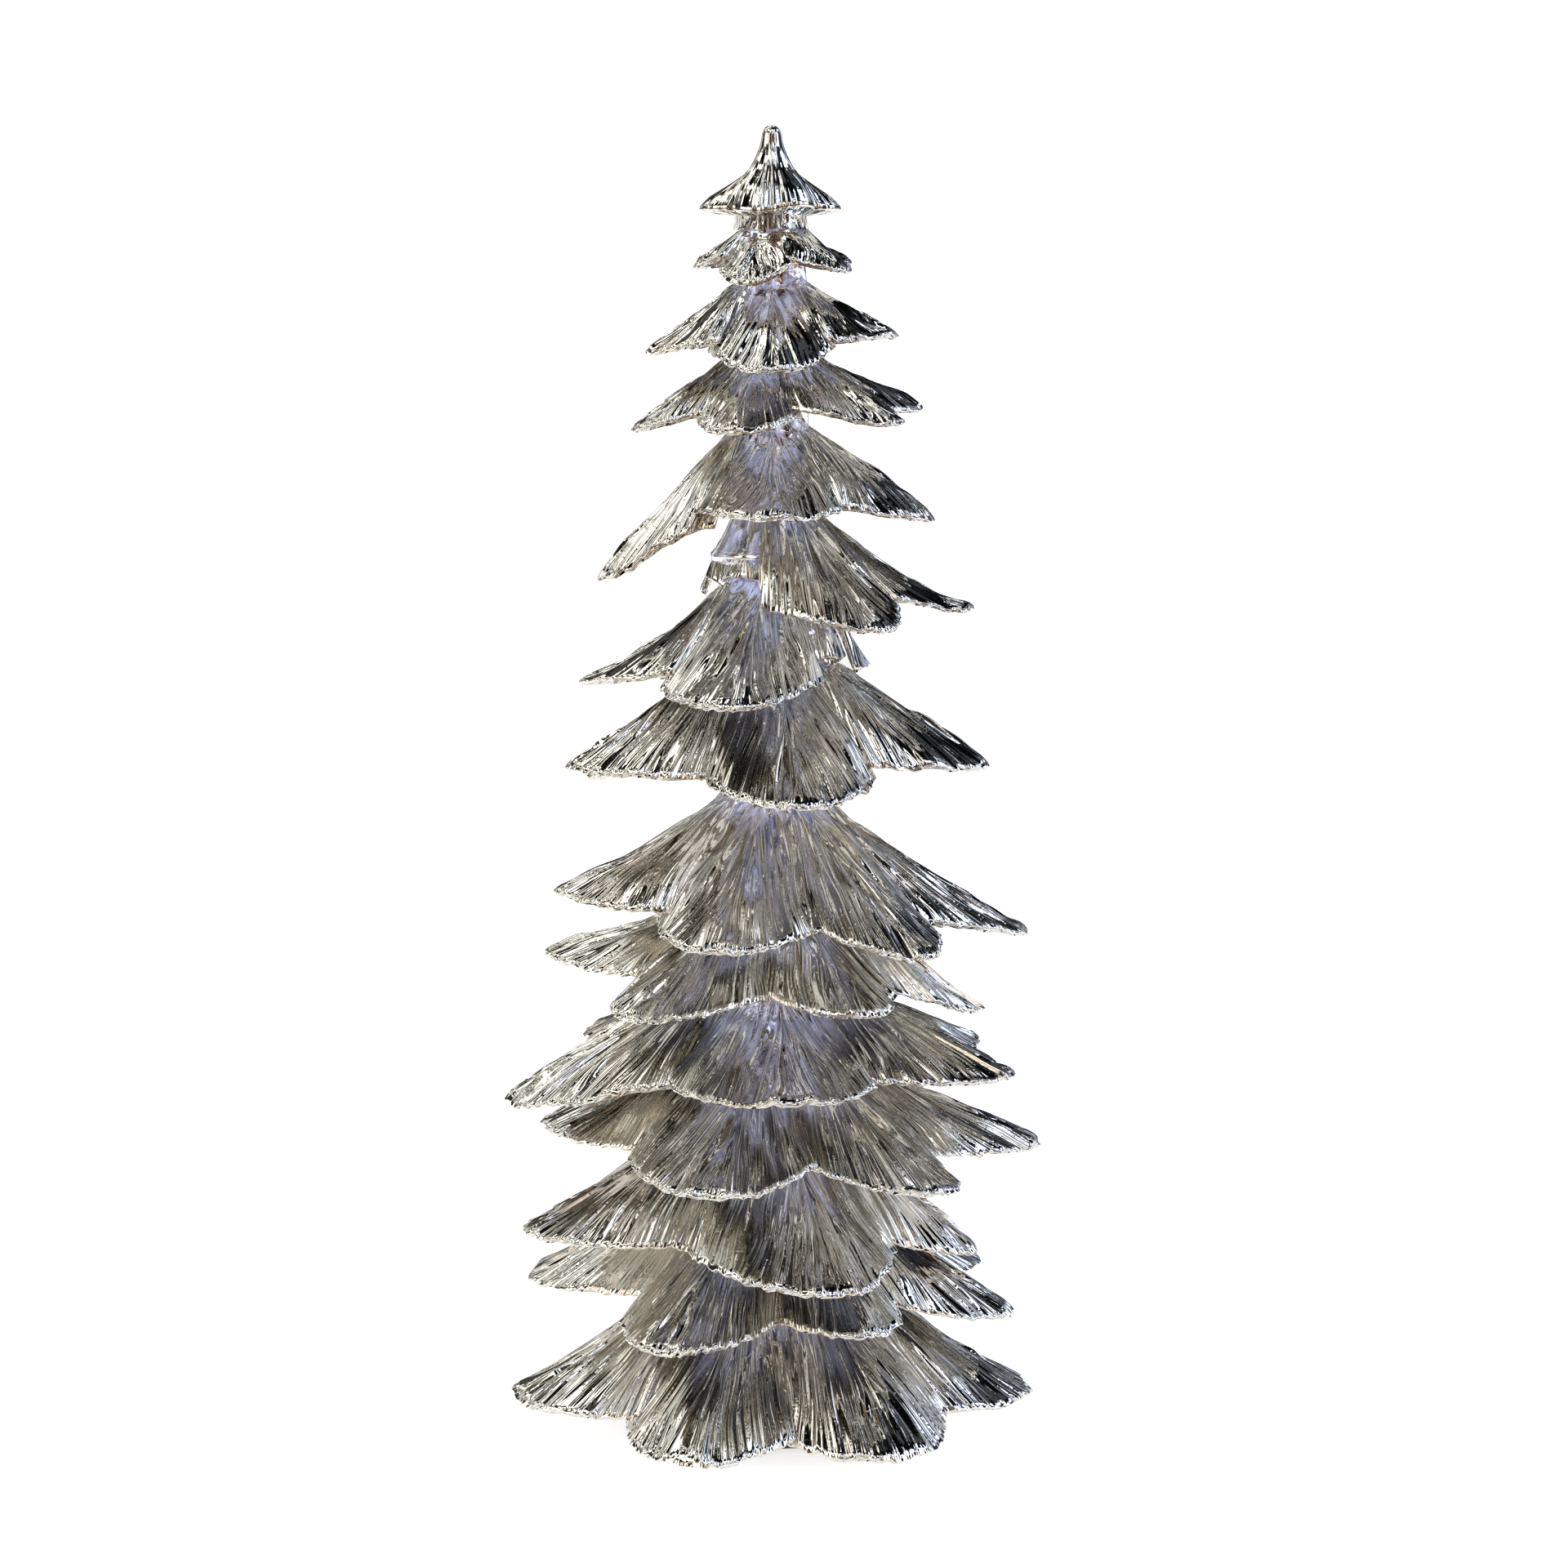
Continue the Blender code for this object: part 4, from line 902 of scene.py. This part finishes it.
FINISHES = {
    "clear_acrylic": lit_acrylic(),
    "led_package": led_lens(),
    "white_plastic": grained("white_abs", "DEDEDA", "EDEDE9", 0.9, 0.05, (0.35, 0.5)),
    "black_plastic": grained("black_abs_spark_texture", "161617", "232325", 0.5, 0.12, (0.42, 0.6)),
    "rubber": grained("foot_rubber", "2E2E30", "3E3E40", 0.8, 0.1, (0.7, 0.9)),
    "nickel": grained("nickel_plated_steel", "B9B3A6", "D2CEC4", 1.4, 0.03, (0.16, 0.32), 1.0),
    "cell_sleeve": grained("pvc_cell_sleeve", "2E4258", "3F5873", 3.0, 0.02, (0.25, 0.36)),
    "circuit_board": grained("green_solder_mask", "174A2E", "22663F", 1.2, 0.02, (0.3, 0.42)),
    "red_insulation": grained("red_pvc", "9E1B1B", "B82A26", 0.8, 0.03, (0.4, 0.5)),
    "black_insulation": grained("black_pvc", "141416", "202022", 0.8, 0.03, (0.4, 0.5)),
}
for part in frame["record"]["subparts"]:
    slot_name = part["material_slot"]
    if slot_name in FINISHES:
        obj = frame["nodes"][part["node"]]
        for index in range(len(obj.material_slots)):
            obj.material_slots[index].material = FINISHES[slot_name]
print("finishes:", ", ".join(sorted(FINISHES)))

# %% [markdown]
# ## The studio
#
# Polished metal shows its surroundings and nothing else, so the surroundings are half of its look.
# The tree stands on a white table in front of a white sweep, and the room around them has tall
# strips of light between dark walls. The camera's side of it is a little brown, and the ceiling is
# broken up into bright and dark panels. The dark parts draw the needles; without them the tree would
# fade into the white.
# The room is painted into the world by direction, so it stays put when the camera moves. Behind the
# tree the camera itself sees plain white.

# %% The room
world = bpy.data.worlds.new("studio")
bpy.context.scene.world = world
world.use_nodes = True
room = world.node_tree
room.nodes.clear()
direction = add(room, "ShaderNodeTexCoord").outputs["Generated"]
axes = add(room, "ShaderNodeSeparateXYZ", Vector=direction).outputs


def band(value, low, high):
    """0 below low and 1 above high, smooth between."""
    smooth = {"interpolation_type": "SMOOTHSTEP"}
    node = add(room, "ShaderNodeMapRange", smooth, Value=value, From_Min=low, From_Max=high)
    return node.outputs["Result"]


def mix(factor, one, two):
    """Colour one where the factor is 0, colour two where it is 1."""
    node = add(room, "ShaderNodeMix", {"data_type": "RGBA"}, in0=factor, in6=one, in7=two)
    return node.outputs[2]


def tinted(one, two):
    """One colour multiplied by the other."""
    settings = {"data_type": "RGBA", "blend_type": "MULTIPLY"}
    return add(room, "ShaderNodeMix", settings, in0=1.0, in6=one, in7=two).outputs[2]


# %% The light round the walls
# (azimuth in degrees from the front, light): windows, lamps and the dark between them
AROUND = [
    (-180, 0.1), (-152, 0.09), (-146, 0.7), (-136, 0.7), (-128, 0.08), (-108, 0.03),
    (-92, 0.08), (-84, 1.6), (-69, 1.6), (-62, 0.03), (-47, 0.03), (-42, 1.5),
    (-30, 1.3), (-25, 0.05), (-13, 0.06), (-8, 0.28), (7, 0.28), (12, 0.05),
    (22, 0.05), (27, 1.3), (37, 1.5), (42, 0.03), (57, 0.03), (62, 1.5),
    (78, 1.6), (86, 0.08), (104, 0.03), (124, 0.08), (132, 0.7), (142, 0.7),
    (149, 0.09), (180, 0.1),
]
BRIGHTEST = 1.9  # a colour ramp holds values up to 1, so the light is scaled up by this after it
BEND = 0.5  # over how many radians the edges of the strips wander
forward = add(room, "ShaderNodeMath", {"operation": "MULTIPLY"}, in0=axes["Y"], in1=-1.0)
towards_front = forward.outputs["Value"]
turn = add(room, "ShaderNodeMath", {"operation": "ARCTAN2"}, in0=axes["X"], in1=towards_front)
wobble = add(room, "ShaderNodeTexNoise", Vector=direction, Scale=2.5, Detail=2.0)
bent = add(
    room,
    "ShaderNodeMath",
    {"operation": "MULTIPLY_ADD"},
    in0=wobble.outputs["Fac"],
    in1=BEND,
    in2=turn.outputs["Value"],
)
place_round = add(
    room,
    "ShaderNodeMapRange",
    Value=bent.outputs["Value"],
    From_Min=BEND / 2 - math.pi,
    From_Max=BEND / 2 + math.pi,
)
level = add(room, "ShaderNodeValToRGB", Fac=place_round.outputs["Result"])
elements = level.color_ramp.elements
while len(elements) < len(AROUND):
    elements.new(0.5)
for element, (azimuth, light) in zip(elements, AROUND):
    element.position = (azimuth + 180) / 360
    element.color = (light / BRIGHTEST,) * 3 + (1.0,)
sides = mix(band(axes["X"], -0.4, 0.5), (1.0, 0.98, 0.92, 1), (0.84, 0.92, 1.12, 1))
tint = mix(band(towards_front, 0.35, 0.85), sides, (1.0, 0.83, 0.68, 1))
walls = tinted(level.outputs["Color"], tint)
bright = add(room, "ShaderNodeVectorMath", {"operation": "SCALE"}, in0=walls, Scale=BRIGHTEST)
print("walls:", len(AROUND), "steps of light")

# %% The ceiling and the ground
PANEL_SCALE = (4.6, 2.6, 1.6)  # how often the ceiling's panels change along X, Y and Z
spread_out = add(room, "ShaderNodeMapping", Vector=direction)
spread_out.inputs["Scale"].default_value = PANEL_SCALE
clutter = add(room, "ShaderNodeTexNoise", Vector=spread_out.outputs["Vector"], Scale=1.0, Detail=1.5)
shade = mix(band(clutter.outputs["Fac"], 0.44, 0.46), linear("141312"), linear("5A5A57"))
panels = mix(band(clutter.outputs["Fac"], 0.515, 0.535), shade, (1.7, 1.7, 1.7, 1))
ceiling = tinted(panels, sides)
ground = mix(band(clutter.outputs["Fac"], 0.48, 0.52), linear("33251B"), linear("B39B84"))
paint = mix(band(axes["Z"], 0.45, 0.6), bright.outputs["Vector"], ceiling)
paint = mix(band(axes["Z"], -0.02, -0.2), paint, ground)
seen = add(room, "ShaderNodeLightPath").outputs["Is Camera Ray"]
around = add(room, "ShaderNodeBackground", Color=paint, Strength=1.0)
behind = add(room, "ShaderNodeBackground", Color=linear("FFFFFF"), Strength=1.0)
switch = add(room, "ShaderNodeMixShader", in0=seen, in1=around.outputs[0], in2=behind.outputs[0])
add(room, "ShaderNodeOutputWorld", Surface=switch.outputs[0])
print("room nodes:", len(room.nodes))

# %% [markdown]
# ## The floor and the lamps
#
# The table is matt white, and a weak light of its own makes it as white as the sweep behind it. It
# ends just in front of the tree, so that the rims there mirror the dark side of the room. Two large
# soft lamps add a little light from the sides.


# %% The floor and the lamps
def floor_paint():
    material, tree, shader = new_material("white_table")
    place = add(tree, "ShaderNodeTexCoord").outputs
    haze = add(tree, "ShaderNodeTexNoise", Vector=place["Object"], Scale=3.0)
    tint = ramp(tree, haze.outputs["Fac"], [(0.3, "F6F6F6"), (0.7, "FAFAFA")])
    tree.links.new(tint, shader.inputs["Base Color"])
    shader.inputs["Roughness"].default_value = 0.7
    shader.inputs["Emission Color"].default_value = linear("FFFFFF")
    shader.inputs["Emission Strength"].default_value = 0.62
    return material


TABLE_HALF_WIDTH, TABLE_FRONT, TABLE_BACK = 0.7, -0.17, 1.2
floor_mesh = bpy.data.meshes.new("floor")
corners = [
    (-TABLE_HALF_WIDTH, TABLE_FRONT, 0),
    (TABLE_HALF_WIDTH, TABLE_FRONT, 0),
    (TABLE_HALF_WIDTH, TABLE_BACK, 0),
    (-TABLE_HALF_WIDTH, TABLE_BACK, 0),
]
floor_mesh.from_pydata(corners, [], [(0, 1, 2, 3)])
floor_mesh.materials.append(floor_paint())
floor = bpy.data.objects.new("floor", floor_mesh)
bpy.context.scene.collection.objects.link(floor)


def soft_lamp(name, place, target, size, power, hex_colour):
    lamp = bpy.data.lights.new(name, "AREA")
    lamp.shape = "RECTANGLE"
    lamp.size, lamp.size_y = size
    lamp.energy = power
    lamp.color = linear(hex_colour)[:3]
    obj = bpy.data.objects.new(name, lamp)
    bpy.context.scene.collection.objects.link(obj)
    obj.location = place
    obj.rotation_euler = (Vector(target) - Vector(place)).to_track_quat("-Z", "Y").to_euler()


soft_lamp("left_lamp", (-0.9, -0.5, 0.45), (0, 0, 0.15), (0.25, 0.8), 1.2, "FFF9EE")
soft_lamp("right_lamp", (0.9, -0.35, 0.5), (0, 0, 0.15), (0.3, 0.8), 1.5, "EEF2FF")
print("stage:", floor.name, "and", len(bpy.data.lights), "lamps")

# %% [markdown]
# ## The camera
#
# The camera stands 0.9 m in front of the tree, a little below the height of its tip, and looks down by
# 7 degrees. The slight shift puts the tree a little left of the middle. Polished metal is usually
# shown with some contrast, so the plain view transform gets a contrast look.

# %% Camera
SHIFT = 0.0078125  # of the picture's width
eye = bpy.data.cameras.new("camera")
eye.lens = 87.06
eye.sensor_width = 36.0
eye.shift_x = SHIFT
camera = bpy.data.objects.new("camera", eye)
bpy.context.scene.collection.objects.link(camera)
camera.location = (0, -0.9, 0.265)
camera.rotation_euler = (math.radians(83), 0, 0)
bpy.context.scene.camera = camera
bpy.context.scene.view_settings.view_transform = "Standard"
bpy.context.scene.view_settings.look = "Medium High Contrast"
print("camera at", [round(value, 3) for value in camera.location])
